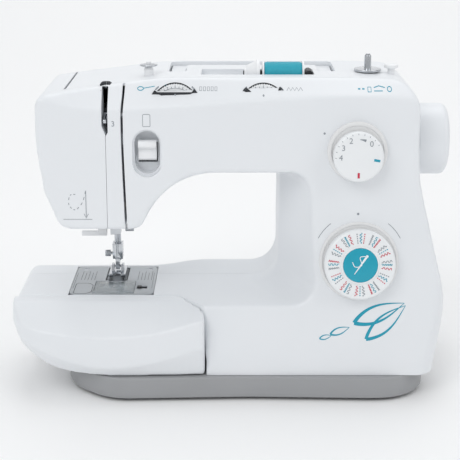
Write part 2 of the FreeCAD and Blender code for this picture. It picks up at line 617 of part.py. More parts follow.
def take_up_lever():
    py, pz = TAKE_UP_PIVOT
    hub = rod(4.5, (-88, py, pz), (-82, py, pz))
    arm = plate_yz([(py, pz + 2.5, 0), (py, pz - 2.5, 0), (py - 12, pz - 6, 0), (py - 12, pz - 2, 0)],
                   -88, -85)
    bridge = block(-103.2, -85, py - 12, py - 9.5, pz - 6, pz - 2)
    end = plate_yz([(py - 9.5, pz - 2, 0), (py - 9.5, pz - 6, 0), (py - 23, pz - 10, 2), (py - 23, pz - 6, 1)],
                   -103.2, -100.8)
    hole = rod(0.9, (-104, py - 20.5, pz - 7.6), (-100, py - 20.5, pz - 7.6))
    return join(hub, arm, bridge, end).cut(rod(2.5 + SLIDING, (-90, py, pz), (-80, py, pz))).cut(hole)


def presser_bar():
    bracket = block(NEEDLE_X - 3, NEEDLE_X + 3, PRESSER_Y, 29, 163.5, 167)
    return join(upright(BAR_R, 92, 214, y=PRESSER_Y), bracket)


def presser_spring():
    return upright(5.2, 168, 199.5, y=PRESSER_Y).cut(upright(3.3, 160, 205, y=PRESSER_Y))


def presser_lifter():
    py, pz = LIFTER_PIVOT
    hub = rod(3, (NEEDLE_X - 3, py, pz), (NEEDLE_X + 3.6, py, pz))
    lobe = block(NEEDLE_X - 3, NEEDLE_X + 3, py, py + 8, pz - 2, pz + 2)
    arm = plate_yz([(py, pz + 2.2, 0), (66, pz - 20, 2), (67, pz - 25, 2), (py, pz - 2.2, 0)],
                   NEEDLE_X - 3, NEEDLE_X + 3)
    return join(hub, lobe, arm)


def presser_foot_holder():
    body = join(block(NEEDLE_X - 4.5, NEEDLE_X + 4.5, PRESSER_Y - 5, PRESSER_Y + 5, 94, 108),
                block(NEEDLE_X - 1.8, NEEDLE_X + 1.8, 6, 14, 85, 95))
    return body.cut(upright(BAR_R, 92, 110, y=PRESSER_Y)).cut(rod(1.3, (-110, 9, 87.2), (-90, 9, 87.2)))


def holder_screw():
    y = PRESSER_Y
    return join(rod(1.3, (NEEDLE_X - 7, y, 98), (NEEDLE_X - 4.5, y, 98)),
                rod(3.0, (NEEDLE_X - 11.5, y, 98), (NEEDLE_X - 6.5, y, 98)))


def presser_foot():
    side = plate_yz([(-8, 83.8, 0), (-4, 81.2, 4), (22, 81.2, 0), (22, 83.2, 0), (-3, 83.2, 4), (-8, 85.6, 0)],
                    NEEDLE_X - 7.5, NEEDLE_X + 7.5)
    slot = block(NEEDLE_X - 3.3, NEEDLE_X + 3.3, -9, 3, 80, 90)
    ears = [block(x, x + 2.5, 5.5, 12.5, 83, 89) for x in (NEEDLE_X - 5.5, NEEDLE_X + 3)]
    pin = rod(1.0, (NEEDLE_X - 5, 9, 87.2), (NEEDLE_X + 5, 9, 87.2))
    return join(side.cut(slot), *ears, pin)


def needle_threader():
    pieces = [upright(2, 126, 200, THREADER_X), block(-116.5, -109, -4.5, 3.5, 122, 131),
              block(-131, -116, -3, 0, 119.5, 123.5), block(-118, -109, -3, 2, 119.5, 123)]
    return join(*pieces)


# ---- plate, feed and bobbin area --------------------------------------------------------------------------
COVER = (-118.5, -83.5, HOOK_Y - 20.0, HOOK_Y + 10.0)
LATCH_SLOT = (-81.5, -72.5, HOOK_Y - 8.0, HOOK_Y - 2.0)
FEED_ROWS = ((-110.0, -107.0, -6.0), (-102.5, -99.5, 8.0), (-95.0, -92.0, -6.0))
FEED_BACK_Y = 21.0


def needle_plate():
    left, right, front, back = PLATE
    plate = plate_xy([(left, front, 6), (right, front, 6), (right, back, 6), (left, back, 6)],
                     BED_Z - PLATE_T, BED_Z)
    plate = plate.cut(block(COVER[0] - RUN, COVER[1] + RUN, COVER[2] - RUN, COVER[3] + RUN, 70, 90))
    plate = plate.cut(block(LATCH_SLOT[0], LATCH_SLOT[1], LATCH_SLOT[2], LATCH_SLOT[3], 70, 90))
    plate = plate.cut(block(NEEDLE_X - 4, NEEDLE_X + 4, -1.2, 1.2, 70, 90))
    for x0, x1, y0 in FEED_ROWS:
        plate = plate.cut(block(x0 - 0.6, x1 + 0.6, y0 - 3, FEED_BACK_Y + 3, 70, 90))
    for x, y in PLATE_SCREWS:
        plate = plate.cut(rod(2.4, (x, y, 70), (x, y, 90)))
    return plate


PLATE_SCREWS = ((-131.0, 20.0), (-73.0, 20.0))


def plate_screws():
    screws = []
    for x, y in PLATE_SCREWS:
        head = rod(2.3, (x, y, BED_Z - PLATE_T), (x, y, BED_Z - 0.2))
        screws.append(head.cut(block(x - 3, x + 3, y - 0.35, y + 0.35, BED_Z - 1, BED_Z)))
    return Part.makeCompound(screws)


def bobbin_cover():
    return block(*COVER, BED_Z - 2.0, BED_Z - 0.1)


def cover_latch():
    x0, _, y0, y1 = LATCH_SLOT
    return join(block(x0 + RUN, x0 + 4.3, y0 + RUN, y1 - RUN, 76, BED_Z + 0.8),
                block(x0 - 1, x0 + 7, y0 - 1.5, y1 + 1.5, 75, BED_Z - PLATE_T - RUN))


def feed_bar():
    return join(block(-112, -40, 8, 15, 64, 70), block(-112, -90, 7, 20, 66, 70))


def feed_dog():
    base = block(-110, -92, 6, FEED_BACK_Y, 73.4, 75.6)
    rows = []
    for x0, x1, y0 in FEED_ROWS:
        row = block(x0, x1, y0, FEED_BACK_Y, 73.4, 79.4)
        count = int((FEED_BACK_Y - y0) / 2)
        for i in range(count):
            y = y0 + 0.4 + i * 2
            notch = plate_yz([(y, 79.6, 0), (y + 1.5, 79.6, 0), (y + 1.5, 78.6, 0)], x0 - 1, x1 + 1)
            row = row.cut(notch)
        rows.append(row)
    return join(base, *rows, block(-104, -98, 9, 17, 70.4, 74))


# ---- controls ---------------------------------------------------------------------------------------------
def thumbwheel(x):
    y0, y1 = THUMB_Y
    return join(rod(THUMB_R, (x, y0, THUMB_Z), (x, y1, THUMB_Z)), rod(4, (x, y0, THUMB_Z), (x, -30, THUMB_Z)))


def tension_discs():
    y, z = -36.0, TENSION_Z
    discs = [rod(9, (x, y, z), (x + 1.2, y, z)) for x in (-89.4, -86.6)]
    return join(rod(2.5, (-90.5, y, z), (-84, y, z)), rod(6, (-85.4, y, z), (-84, y, z)), *discs)


def stitch_length_dial():
    knob = join(rod(LENGTH_R, (0, -13.5, 0), (0, -4, 0)), rod(4, (0, -4.5, 0), (0, 18, 0)))
    return leaning(knob, LENGTH_AT, LENGTH_LEAN)


def pattern_dial():
    knob = join(rod(PATTERN_R, (0, -11.5, 0), (0, -2, 0)), rod(14.5, (0, -13, 0), (0, -11, 0)),
                rod(4.5, (0, -3, 0), (0, 42, 0)))
    return leaning(knob, PATTERN_AT, PATTERN_LEAN)


def pattern_cams():
    cams = [rod(15 - (i % 3), (0, y, 0), (0, y + 4, 0)) for i, y in enumerate(range(10, 38, 4))]
    return leaning(join(*cams).cut(rod(4.5, (0, 0, 0), (0, 50, 0))), PATTERN_AT, PATTERN_LEAN)


def reverse_lever():
    x0, x1 = REVERSE_X - 7.5, REVERSE_X + 7.5
    body = plate_yz([(REVERSE_PIVOT_Y, REVERSE_Z + 3.5, 0), (REVERSE_PIVOT_Y, REVERSE_Z - 3.5, 0),
                     (-46, REVERSE_Z - 7.5, 1), (-49, REVERSE_Z - 5.5, 1), (-46, REVERSE_Z + 6.5, 2)], x0, x1)
    return join(body, rod(3.6, (x0, -48, REVERSE_Z + 6.5), (x1, -48, REVERSE_Z + 6.5)),
                rod(4, (x0, REVERSE_PIVOT_Y, REVERSE_Z), (x1, REVERSE_PIVOT_Y, REVERSE_Z)))


# ---- top of the arm ---------------------------------------------------------------------------------------
def winder_lever():
    return block(WINDER_X - 14, WINDER_X + 9, WINDER_Y - 9, WINDER_Y + 9, TOP_Z - 12, TOP_Z - 8).cut(
        rod(2.6, (WINDER_X, WINDER_Y, TOP_Z - 15), (WINDER_X, WINDER_Y, TOP_Z - 5)))


def winder_spindle():
    def at(r, low, high):
        return rod(r, (WINDER_X, WINDER_Y, TOP_Z + low), (WINDER_X, WINDER_Y, TOP_Z + high))
    return join(at(2.5, -19, 4), at(11.5, 1.6, 3.4), at(2.9, 3, 16), at(7, -19, -12.4))


def winder_stopper():
    x = WINDER_X + 20
    return join(rod(3, (x, WINDER_Y, TOP_Z - 3), (x, WINDER_Y, TOP_Z + 4)),
                rod(6, (x, WINDER_Y, TOP_Z + 3.9), (x, WINDER_Y, TOP_Z + 7)))


def winding_guide():
    x, y = -68.0, -14.0
    return join(rod(4, (x, y, TOP_Z - 3.5), (x, y, TOP_Z + 6)), rod(7.5, (x, y, TOP_Z + 7.4), (x, y, TOP_Z + 9)),
                rod(2, (x, y, TOP_Z + 5), (x, y, TOP_Z + 11)))


def spool_pin():
    """The pin, which tips up about the hub at its right end."""
    x = TROUGH_X[1] - 4
    return join(rod(2.4, (11, SPOOL_Y, SPOOL_Z), (x, SPOOL_Y, SPOOL_Z)),
                rod(3.4, (x, SPOOL_Y - 8, SPOOL_Z), (x, SPOOL_Y + 8, SPOOL_Z)))


def thread_spool():
    x0, x1 = SPOOL_X
    def at(r, a, b):
        return rod(r, (a, SPOOL_Y, SPOOL_Z), (b, SPOOL_Y, SPOOL_Z))
    return join(at(9.5, x0 + 1.5, x1 - 1.5), at(10.5, x0, x0 + 1.6), at(10.5, x1 - 1.6, x1)).cut(at(2.8, 0, 90))


def spool_cap():
    cone = Part.makeCone(6.5, 11.5, 8, V(14, SPOOL_Y, SPOOL_Z), X)
    return join(cone, rod(11.5, (22, SPOOL_Y, SPOOL_Z), (25, SPOOL_Y, SPOOL_Z)),
                rod(4, (12, SPOOL_Y, SPOOL_Z), (15, SPOOL_Y, SPOOL_Z))).cut(
        rod(2.7, (0, SPOOL_Y, SPOOL_Z), (90, SPOOL_Y, SPOOL_Z)))


def carry_handle():
    x0, x1 = HANDLE_X
    y0, z0 = HANDLE_PIVOT
    arms = [join(block(x, x + 12, y0, 44, z0 - 4, z0 + 5), rod(4.5, (x, y0, z0), (x + 12, y0, z0)))
            for x in (x0, x1 - 12)]
    return join(*arms, block(x0, x1, 31, 45, z0 - 4, z0 + 5))


# ---- electrics --------------------------------------------------------------------------------------------
def lamp():
    return block(-88, -79, -16.5, -3.5, HEAD_UNDER_Z - 0.4, 150)


def power_inlet():
    body = join(block(152, 177.2, 15.8, 40.2, 39.8, 62), block(152, 180.8, 15.8, 40.2, 62, 88.2))
    return body.cut(block(166, 184, 19, 37, 43, 59)).cut(block(164, 184, 18.7, 37.3, 63.7, 86.3))


def power_switch():
    return join(block(166, 182.6, 20, 36, 66, 84), rod(3, (SWITCH_PIVOT_X, 19.4, 75), (SWITCH_PIVOT_X, 36.6, 75)))


PIECES = {
    "base_tray": base_tray, "rubber_feet": rubber_feet, "extension_table": extension_table, "cast_frame": cast_frame,
    "main_shaft": main_shaft, "handwheel": handwheel, "motor": motor, "motor_pulley": motor_pulley,
    "timing_pulley": lambda: on_shaft(SHAFT_Z, SHAFT_R, (TIMING_R, *PULLEY_X), (14, PULLEY_X[0] - 1.5, PULLEY_X[0])),
    "drive_pulley": lambda: on_shaft(SHAFT_Z, SHAFT_R, (DRIVE_R, *BELT_X), (10, BELT_X[0] - 3, BELT_X[1])),
    "lower_pulley": lambda: on_shaft(LOWER_Z, SHAFT_R, (TIMING_R, *PULLEY_X), (14, PULLEY_X[0] - 1.5, PULLEY_X[0])),
    "timing_belt": lambda: belt((SHAFT_Y, SHAFT_Z), TIMING_R + RUN, (SHAFT_Y, LOWER_Z), TIMING_R + RUN, 1.6,
                                PULLEY_X[0] + 1, PULLEY_X[1] - 1),
    "motor_belt": lambda: belt((SHAFT_Y, SHAFT_Z), DRIVE_R + RUN, (MOTOR_Y, MOTOR_Z), MOTOR_PULLEY_R + RUN, 1.6,
                               BELT_X[0] + 1, BELT_X[1] - 1),
    "lower_shaft": lower_shaft, "rotary_hook": rotary_hook, "bobbin_case": bobbin_case, "bobbin": bobbin,
    "needle_bar_frame": needle_bar_frame, "needle_bar": needle_bar, "connecting_rod": connecting_rod,
    "needle_clamp": needle_clamp, "needle_clamp_screw": needle_clamp_screw, "needle": needle,
    "take_up_lever": take_up_lever, "presser_bar": presser_bar, "presser_spring": presser_spring,
    "presser_lifter": presser_lifter, "presser_foot_holder": presser_foot_holder, "holder_screw": holder_screw,
    "presser_foot": presser_foot, "needle_threader": needle_threader, "needle_plate": needle_plate,
    "plate_screws": plate_screws, "bobbin_cover": bobbin_cover, "cover_latch": cover_latch, "feed_bar": feed_bar,
    "feed_dog": feed_dog, "tension_dial": lambda: thumbwheel(TENSION_X),
    "stitch_width_dial": lambda: thumbwheel(WIDTH_X), "tension_discs": tension_discs,
    "stitch_length_dial": stitch_length_dial, "pattern_dial": pattern_dial, "pattern_cams": pattern_cams,
    "reverse_lever": reverse_lever, "winder_lever": winder_lever, "winder_spindle": winder_spindle,
    "winder_stopper": winder_stopper, "winding_guide": winding_guide, "spool_pin": spool_pin,
    "thread_spool": thread_spool, "spool_cap": spool_cap, "carry_handle": carry_handle, "lamp": lamp,
    "power_inlet": power_inlet, "power_switch": power_switch,
}

for name, shape in make_covers().items():
    save(name, shape)
for name, make in PIECES.items():
    save(name, make())
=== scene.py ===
import json
import math

import bpy
from mathutils import Matrix, Vector

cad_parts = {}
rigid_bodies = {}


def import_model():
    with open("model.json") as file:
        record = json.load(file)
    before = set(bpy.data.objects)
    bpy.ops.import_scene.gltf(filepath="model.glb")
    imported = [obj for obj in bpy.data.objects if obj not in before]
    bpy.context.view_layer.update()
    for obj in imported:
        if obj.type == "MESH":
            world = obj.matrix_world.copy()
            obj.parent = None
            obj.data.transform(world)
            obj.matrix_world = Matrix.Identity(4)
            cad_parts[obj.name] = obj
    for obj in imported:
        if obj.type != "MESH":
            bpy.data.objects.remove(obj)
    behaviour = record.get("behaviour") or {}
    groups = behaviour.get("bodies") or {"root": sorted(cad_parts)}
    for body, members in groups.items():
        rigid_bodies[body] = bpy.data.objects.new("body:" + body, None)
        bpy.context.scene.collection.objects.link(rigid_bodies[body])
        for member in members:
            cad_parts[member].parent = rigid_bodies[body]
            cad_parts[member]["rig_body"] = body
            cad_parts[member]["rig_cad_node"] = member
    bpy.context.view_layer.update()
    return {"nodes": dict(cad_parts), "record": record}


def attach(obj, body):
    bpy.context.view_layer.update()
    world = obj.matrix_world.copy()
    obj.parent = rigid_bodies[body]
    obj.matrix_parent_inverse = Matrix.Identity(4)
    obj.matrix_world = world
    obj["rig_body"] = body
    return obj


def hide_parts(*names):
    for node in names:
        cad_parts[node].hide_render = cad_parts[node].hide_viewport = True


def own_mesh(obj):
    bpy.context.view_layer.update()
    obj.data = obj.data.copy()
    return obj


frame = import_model()

# ---- Camera, table and light ------------------------------------------------------------------------------
# The machine stands on a pale table that runs up behind it, in the even light of a studio tent: one broad
# soft light over the front, one from each side, and a bright sky that fills the shadows.

MM = 0.001


def linear(colour):
    """One sRGB hex colour as the linear values that a shader takes."""
    parts = [int(colour[i:i + 2], 16) / 255 for i in (1, 3, 5)]
    return (*[c / 12.92 if c <= 0.04045 else ((c + 0.055) / 1.055) ** 2.4 for c in parts], 1.0)


def node(tree, kind, links=(), **settings):
    """Adds one node: settings name properties or sockets, and links are (socket, source node, output)."""
    made = tree.nodes.new(kind)
    for key, value in settings.items():
        if hasattr(made, key):
            setattr(made, key, value)
        else:
            made.inputs[key.replace("_", " ")].default_value = value
    for socket, source, output in links:
        tree.links.new(source.outputs[output], made.inputs[socket])
    return made


def alone(piece):
    """Selects one piece and nothing else."""
    if bpy.context.object and bpy.context.object.mode != "OBJECT":
        bpy.ops.object.mode_set(mode="OBJECT")
    bpy.ops.object.select_all(action="DESELECT")
    piece.select_set(True)
    bpy.context.view_layer.objects.active = piece
    return piece


def added(name):
    """Names the primitive that was just added, and its mesh."""
    piece = bpy.context.object
    piece.name = piece.data.name = name
    return alone(piece)


aim = Vector((0, 0, 0.1238))
pitch = math.radians(17.5)
distance = 1.010
bpy.ops.object.camera_add(location=aim + Vector((0, -math.cos(pitch), math.sin(pitch))) * distance,
                          rotation=(math.pi / 2 - pitch, 0, 0))
camera = bpy.context.object
camera.data.sensor_width = 36
camera.data.lens = 89.2
camera.data.clip_start = 0.05
bpy.context.scene.camera = camera

sweep_width, sweep_front, sweep_back, sweep_height = 6.0, -2.5, 1.6, 3.0
bpy.ops.mesh.primitive_plane_add(size=1, location=(0, 0, 0))
backdrop = added("backdrop")
for vertex in backdrop.data.vertices:
    vertex.co = (vertex.co.x * sweep_width, sweep_back if vertex.co.y > 0 else sweep_front, 0)
bpy.ops.object.mode_set(mode="EDIT")
bpy.ops.mesh.select_all(action="DESELECT")
bpy.ops.mesh.select_mode(type="EDGE")
bpy.ops.object.mode_set(mode="OBJECT")
for edge in backdrop.data.edges:
    edge.select = all(backdrop.data.vertices[v].co.y > 0 for v in edge.vertices)
bpy.ops.object.mode_set(mode="EDIT")
bpy.ops.mesh.extrude_region_move(TRANSFORM_OT_translate={"value": (0, 0, sweep_height)})
bpy.ops.object.mode_set(mode="OBJECT")
for edge in backdrop.data.edges:
    ends = [backdrop.data.vertices[v].co for v in edge.vertices]
    edge.select = all(end.y > 0 and end.z < 0.1 for end in ends)
bpy.ops.object.mode_set(mode="EDIT")
bpy.ops.mesh.bevel(offset=1.0, segments=24)
bpy.ops.object.mode_set(mode="OBJECT")
bpy.ops.object.shade_smooth()

paper = bpy.data.materials.new("matt_backdrop_paper")
paper.use_nodes = True
tree = paper.node_tree
fibres = node(tree, "ShaderNodeTexNoise", Scale=900.0, Detail=2.0)
tree.nodes["Principled BSDF"].inputs["Base Color"].default_value = linear("#FBFBFB")
tree.nodes["Principled BSDF"].inputs["Roughness"].default_value = 0.9
relief = node(tree, "ShaderNodeBump", [("Height", fibres, "Fac")], Distance=0.00002, Strength=0.3)
tree.links.new(relief.outputs["Normal"], tree.nodes["Principled BSDF"].inputs["Normal"])
backdrop.data.materials.append(paper)

for place, size, power in (((-0.9, -1.3, 1.5), 1.2, 11), ((1.3, -0.7, 1.1), 1.0, 4),
                           ((0.1, 0.7, 1.9), 1.4, 9)):
    bpy.ops.object.light_add(type="AREA", location=place)
    light = bpy.context.object
    light.data.size = size
    light.data.energy = power
    light.rotation_euler = (aim - Vector(place)).to_track_quat("-Z", "Y").to_euler()
world = bpy.data.worlds.new("studio")
bpy.context.scene.world = world
world.use_nodes = True
world.node_tree.nodes["Background"].inputs["Color"].default_value = linear("#F4F6F8")
world.node_tree.nodes["Background"].inputs["Strength"].default_value = 0.62
bpy.context.scene.view_settings.view_transform = "Standard"

# ---- Casing: the moulded covers ---------------------------------------------------------------------------
# Four covers of injection-moulded ABS meet at fine seams: front, rear, top and a face cover that swings
# open. Their outer shape is carved here as one solid, as a pattern maker would, softened all over and cut
# apart. Each cover then gets its wall, and the slots and wells that its tool leaves in it.

BED_Z, TOP_Z = 80 * MM, 265 * MM
WALL, SEAM = 2.6 * MM, 0.3 * MM
FACE_X, FACE_BACK_Y, SPLIT_Y, TOP_FRONT_Y = -101.8 * MM, 50 * MM, 8 * MM, -33 * MM


MERGE = 0.000001         # vertices closer than this are one


def mm(*corners):
    """Points, radii and lengths given in millimetres."""
    return [tuple(value * MM for value in corner) for corner in corners]


def rounded(corners, steps=8):
    """Points of an outline whose corners are (a, b, radius), with each round corner as an arc."""
    points = []
    for i, (a, b, radius) in enumerate(corners):
        here = Vector((a, b))
        back = (Vector(corners[i - 1][:2]) - here).normalized()
        ahead = (Vector(corners[(i + 1) % len(corners)][:2]) - here).normalized()
        half = back.angle(ahead) / 2
        if not radius or half > 1.56:
            points.append(here)
            continue
        centre = here + (back + ahead).normalized() * (radius / math.sin(half))
        start = here + back * (radius / math.tan(half)) - centre
        turn = start.angle_signed(here + ahead * (radius / math.tan(half)) - centre)
        points += [centre + Matrix.Rotation(-turn * k / steps, 2) @ start for k in range(steps + 1)]
    return points


def smooth_line(points, steps=6):
    """A smooth run of points through the ones given."""
    points = [Vector(p) for p in points]
    ends = [points[0] * 2 - points[1], *points, points[-1] * 2 - points[-2]]
    line = []
    for a, b, c, d in zip(ends, ends[1:], ends[2:], ends[3:]):
        for k in range(steps):
            t = k / steps
            bend = (c - a) * t + (2 * a - 5 * b + 4 * c - d) * t * t + (3 * b - a - 3 * c + d) * t ** 3
            line.append(b + bend / 2)
    return line + [points[-1]]


def edit_all():
    """Opens the active piece for editing, with everything selected."""
    bpy.ops.object.mode_set(mode="EDIT")
    bpy.ops.mesh.select_all(action="SELECT")


def outward():
    """Merges the doubles of the piece in edit mode and turns its faces outwards."""
    bpy.ops.mesh.select_all(action="SELECT")
    bpy.ops.mesh.remove_doubles(threshold=MERGE)
    bpy.ops.mesh.normals_make_consistent(inside=False)
    bpy.ops.object.mode_set(mode="OBJECT")


def slab(name, points, axis, start, end):
    """A solid with the outline given, extruded from a filled polygon along one axis."""
    bpy.ops.mesh.primitive_circle_add(vertices=len(points), fill_type="NGON")
    piece = added(name)
    for vertex, (a, b) in zip(piece.data.vertices, points):
        vertex.co = {"X": (start, a, b), "Y": (a, start, b), "Z": (a, b, start)}[axis]
    edit_all()
    way = {"X": (end - start, 0, 0), "Y": (0, end - start, 0), "Z": (0, 0, end - start)}[axis]
    bpy.ops.mesh.extrude_region_move(TRANSFORM_OT_translate={"value": way})
    outward()
    return piece


def block(name, low, high):
    """A box between two corners in millimetres, as an outline drawn from above and extruded."""
    (x0, y0, z0), (x1, y1, z1) = mm(low, high)
    return slab(name, [(x0, y0), (x1, y0), (x1, y1), (x0, y1)], "Z", z0, z1)


def bridged(name, sections):
    """A solid skin over sections with the same count of points, each a list of places in space."""
    rings = []
    for section in sections:
        bpy.ops.mesh.primitive_circle_add(vertices=len(section), fill_type="NOTHING")
        rings.append(added(name))
        for vertex, place in zip(rings[-1].data.vertices, section):
            vertex.co = place
    piece = joined(name, *rings)
    edit_all()
    bpy.ops.mesh.bridge_edge_loops()
    for end in (sections[0], sections[-1]):
        bpy.ops.mesh.select_all(action="DESELECT")
        bpy.ops.object.mode_set(mode="OBJECT")
        places = [Vector(place) for place in end]
        for vertex in piece.data.vertices:
            vertex.select = any((vertex.co - place).length < 1e-7 for place in places)
        bpy.ops.object.mode_set(mode="EDIT")
        bpy.ops.mesh.select_mode(type="VERT")
        bpy.ops.mesh.edge_face_add()
    outward()
    return piece


def joined(name, *pieces):
    """Several pieces as one mesh."""
    alone(pieces[0])
    for piece in pieces[1:]:
        piece.select_set(True)
    if len(pieces) > 1:
        bpy.ops.object.join()
    return added(name)


def apply(piece, kind, **settings):
    """Gives the piece one modifier and applies it."""
    alone(piece)
    change = piece.modifiers.new(kind.lower(), kind)
    for key, value in settings.items():
        setattr(change, key, value)
    bpy.ops.object.modifier_apply(modifier=change.name)
    return piece


def carve(piece, tool, how="DIFFERENCE", solver="EXACT"):
    """Cuts, joins or meets a piece with a tool, and takes the tool away."""
    apply(piece, "BOOLEAN", operation=how, solver=solver, object=tool)
    bpy.data.objects.remove(tool)
    return piece


def soften(piece, voxel, passes):
    """Turns a hard-edged solid into one even skin and rounds all its edges, as a tool's radii do."""
    apply(piece, "REMESH", mode="VOXEL", voxel_size=voxel, adaptivity=0)
    apply(piece, "SMOOTH", factor=0.5, iterations=passes)
    bpy.ops.object.shade_smooth()
    return piece


def turned(name, profile, at, axis=(0, -1, 0), steps=72):
    """A turned piece: (radius, height) in mm round its closed section, and at is where height is 0."""
    axis, at = Vector(axis).normalized(), Vector(at) * MM
    side = axis.orthogonal().normalized()
    bpy.ops.mesh.primitive_circle_add(vertices=len(profile), fill_type="NOTHING")
    piece = added(name)
    for vertex, (radius, height) in zip(piece.data.vertices, profile):
        vertex.co = at + side * radius * MM + axis * height * MM
    edit_all()
    bpy.ops.mesh.spin(steps=steps, angle=2 * math.pi, center=at, axis=axis)
    bpy.ops.mesh.select_all(action="SELECT")
    bpy.ops.mesh.remove_doubles(threshold=MERGE)
    bpy.ops.mesh.delete_loose(use_verts=True, use_edges=True, use_faces=False)
    outward()
    return piece


outline = rounded(mm(
    (-158.5, 253, 9), (-159.5, 214, 150), (-150, 150, 20), (-140.5, 120, 0), (-140.5, 80, 0),
    (-184.5, 80, 9),
    (-185.5, 60, 20), (-172.8, 37, 14), (-20, 37, 0), (-20, 10, 0), (168.5, 10, 0), (183, 76, 45),
    (156.5, 184, 120),
    (154.5, 264, 24), (104, 266, 250), (-56, 266, 300)))
casing = slab("casing", outline, "Y", -0.13, 0.13)
front_line = smooth_line(mm((-84, 10), (-83.5, 30), (-80, 52), (-71, 82), (-62, 135), (-56.5, 190),
                            (-53.5, 240), (-53, 275)))
rear_line = smooth_line(mm((90, 10), (88.5, 30), (83, 52), (71, 82), (60, 135), (57.5, 190), (56.5, 240),
                           (56.5, 275)))
carve(casing, slab("side_line", front_line + rear_line[::-1], "X", -0.22, 0.22), "INTERSECT")
plan = rounded(mm((-220, -110, 0), (183, -86, 42), (183, 93, 42), (-220, 119, 0)))
carve(casing, slab("plan_line", plan, "Z", 0, 0.3), "INTERSECT")
throat = rounded(mm((-230, 80, 0), (42.5, 80, 24), (42.5, 190, 10), (-49, 190, 62), (-75, 143, 9),
                    (-140.5, 143, 12), (-154.5, 176, 0), (-230, 176, 0)))
carve(casing, slab("throat", throat, "Y", -0.12, 0.12))


def flare_line(right, low, high, y):
    """The throat's outline at one depth, with its own right edge and corner radii."""
    line = rounded(mm((0, 80, 0), (right, 80, low), (right, 190, high), (0, 190, 0)))
    return [(a, y, b) for a, b in line]


# The column's left side slants outwards to the front, which leaves the broad bevel beside the throat.
carve(casing, bridged("flare", [flare_line(76, 22, 18, -0.075), flare_line(42.5, 24, 10, -0.010)]))
free_arm_rear = rounded(mm((-230, 34, 0), (-62, 34, 60), (-34, 52, 60), (46.5, 52, 10), (46.5, 120, 0),
                           (-230, 120, 0)))
carve(casing, slab("free_arm_rear", free_arm_rear, "Z", -0.005, 0.12))
free_arm_front = rounded(mm((-230, -47, 0), (-45, -47, 8), (-20.5, -72, 26), (-20.5, -130, 0),
                            (-230, -130, 0)))
carve(casing, slab("free_arm_front", free_arm_front, "Z", -0.005, 0.12))

# The top's slanted skirt: a ruled band from a gently curved crease on the front up to the top's front edge.
crease = smooth_line(mm((-200, 266), (-164, 254.5), (-132, 245), (-100, 242.2), (-60, 243.6), (0, 248),
                        (60, 251.5),
                        (110, 252.6), (160, 249), (200, 244)))
bpy.ops.mesh.primitive_grid_add(x_subdivisions=len(crease) - 1, y_subdivisions=1, size=1)
band = added("band")
low_y, high_y = -53.5 * MM, -36 * MM
columns = sorted(band.data.vertices, key=lambda v: (round(v.co.x, 5), v.co.y))
for (x, z), low, high in zip(crease, columns[::2], columns[1::2]):
    way = Vector((0, high_y - low_y, TOP_Z - z))
    low.co = Vector((x, low_y, z)) - way * 0.8
    high.co = Vector((x, high_y, TOP_Z)) + way * 0.9
edit_all()
bpy.ops.mesh.extrude_region_move(TRANSFORM_OT_translate={"value": (0, -0.08, 0.03)})
outward()
carve(casing, band)
soften(casing, 2.2 * MM, 8)


def slot_between(centre, width):
    """The outline of a narrow slot that follows a line of (x, z) points."""
    return [(x - width / 2, z) for x, z in centre] + [(x + width / 2, z) for x, z in centre[::-1]]


LENGTH_AT, PATTERN_AT = Vector((104, -57, 206)), Vector((107.4, -65.5, 115.8))


def facing(lean):
    """Which way a knob on the leaning front points."""
    return Vector((0, -math.cos(math.radians(lean)), math.sin(math.radians(lean))))


LENGTH_WAY, PATTERN_WAY = facing(5), facing(9)
THUMB_X, THUMB_Z, THUMB_BACK_Y = (-44.7, 27.2), 241.5, -34.4

# The wells and slots: the plate's well, the mouths under the head, the lever's stepped recess, the troughs
# on top.
pocket_plan = rounded(mm((-52, -5, 3), (-37, -5, 3), (-37, 28, 1), (74, 28, 1), (74, -5, 3), (89, -5, 3),
                         (89, 47, 6), (-52, 47, 6)), 4)
recess = rounded(mm((-78.4, 224.7, 10.3), (-57.6, 224.7, 10.3), (-57.6, 188.8, 10.3), (-78.4, 188.8, 10.3)),
                 12)
recess_step = rounded(mm((-80, 226.5, 11.9), (-56, 226.5, 11.9), (-56, 187, 11.9), (-80, 187, 11.9)), 12)
take_up_slot = rounded(mm((-104.6, 259.5, 0.8), (-99.4, 259.5, 0.8), (-99.6, 224, 0), (-101.3, 221, 0),
                          (-104.6, 229, 0)), 4)
thread_slot = slot_between(smooth_line(mm((-86.2, 275), (-86.9, 256), (-88.0, 240), (-88.1, 215),
                                          (-87.4, 185),
                                          (-86.6, 160), (-86.0, 141))), 2.0 * MM)
carve(casing, slab("take_up_slot", take_up_slot, "Y", -0.13, -0.030))
carve(casing, joined(
    "openings",
    slab("thread_slot", thread_slot, "Y", -0.13, -0.037),
    block("plate_well", (-139.3, -45.3, 74), (-65.7, 27.3, 88)),
    block("head_mouth", (-118, -26, 139), (-88.4, 50, 149)),
    block("lamp_mouth", (-88.2, -16.7, 139), (-78.8, -3.3, 149)),
    block("lifter_slot", (-106, 51, 139), (-96, 80, 184)),
    turned("wheel_hole", [(0, 0), (14, 0), (14, 40), (0, 40)], (136, 0, 207), (1, 0, 0), 32),
    slab("recess", recess, "Y", -0.0512, -0.041),
    slab("recess_step", recess_step, "Y", -0.09, -0.0514),
    block("winder_slot", (112.5, -8.6, 257), (125, -1.4, 273)),
    block("inlet_mouth", (144, 15.5, 39.5), (200, 40.5, 88.5)),
    turned("trough", [(0, 0), (13.6, 0), (13.6, 94), (0, 94)], (-24, -8, 265), (1, 0, 0), 48),
    slab("handle_pocket", pocket_plan, "Z", 0.251, 0.28)))
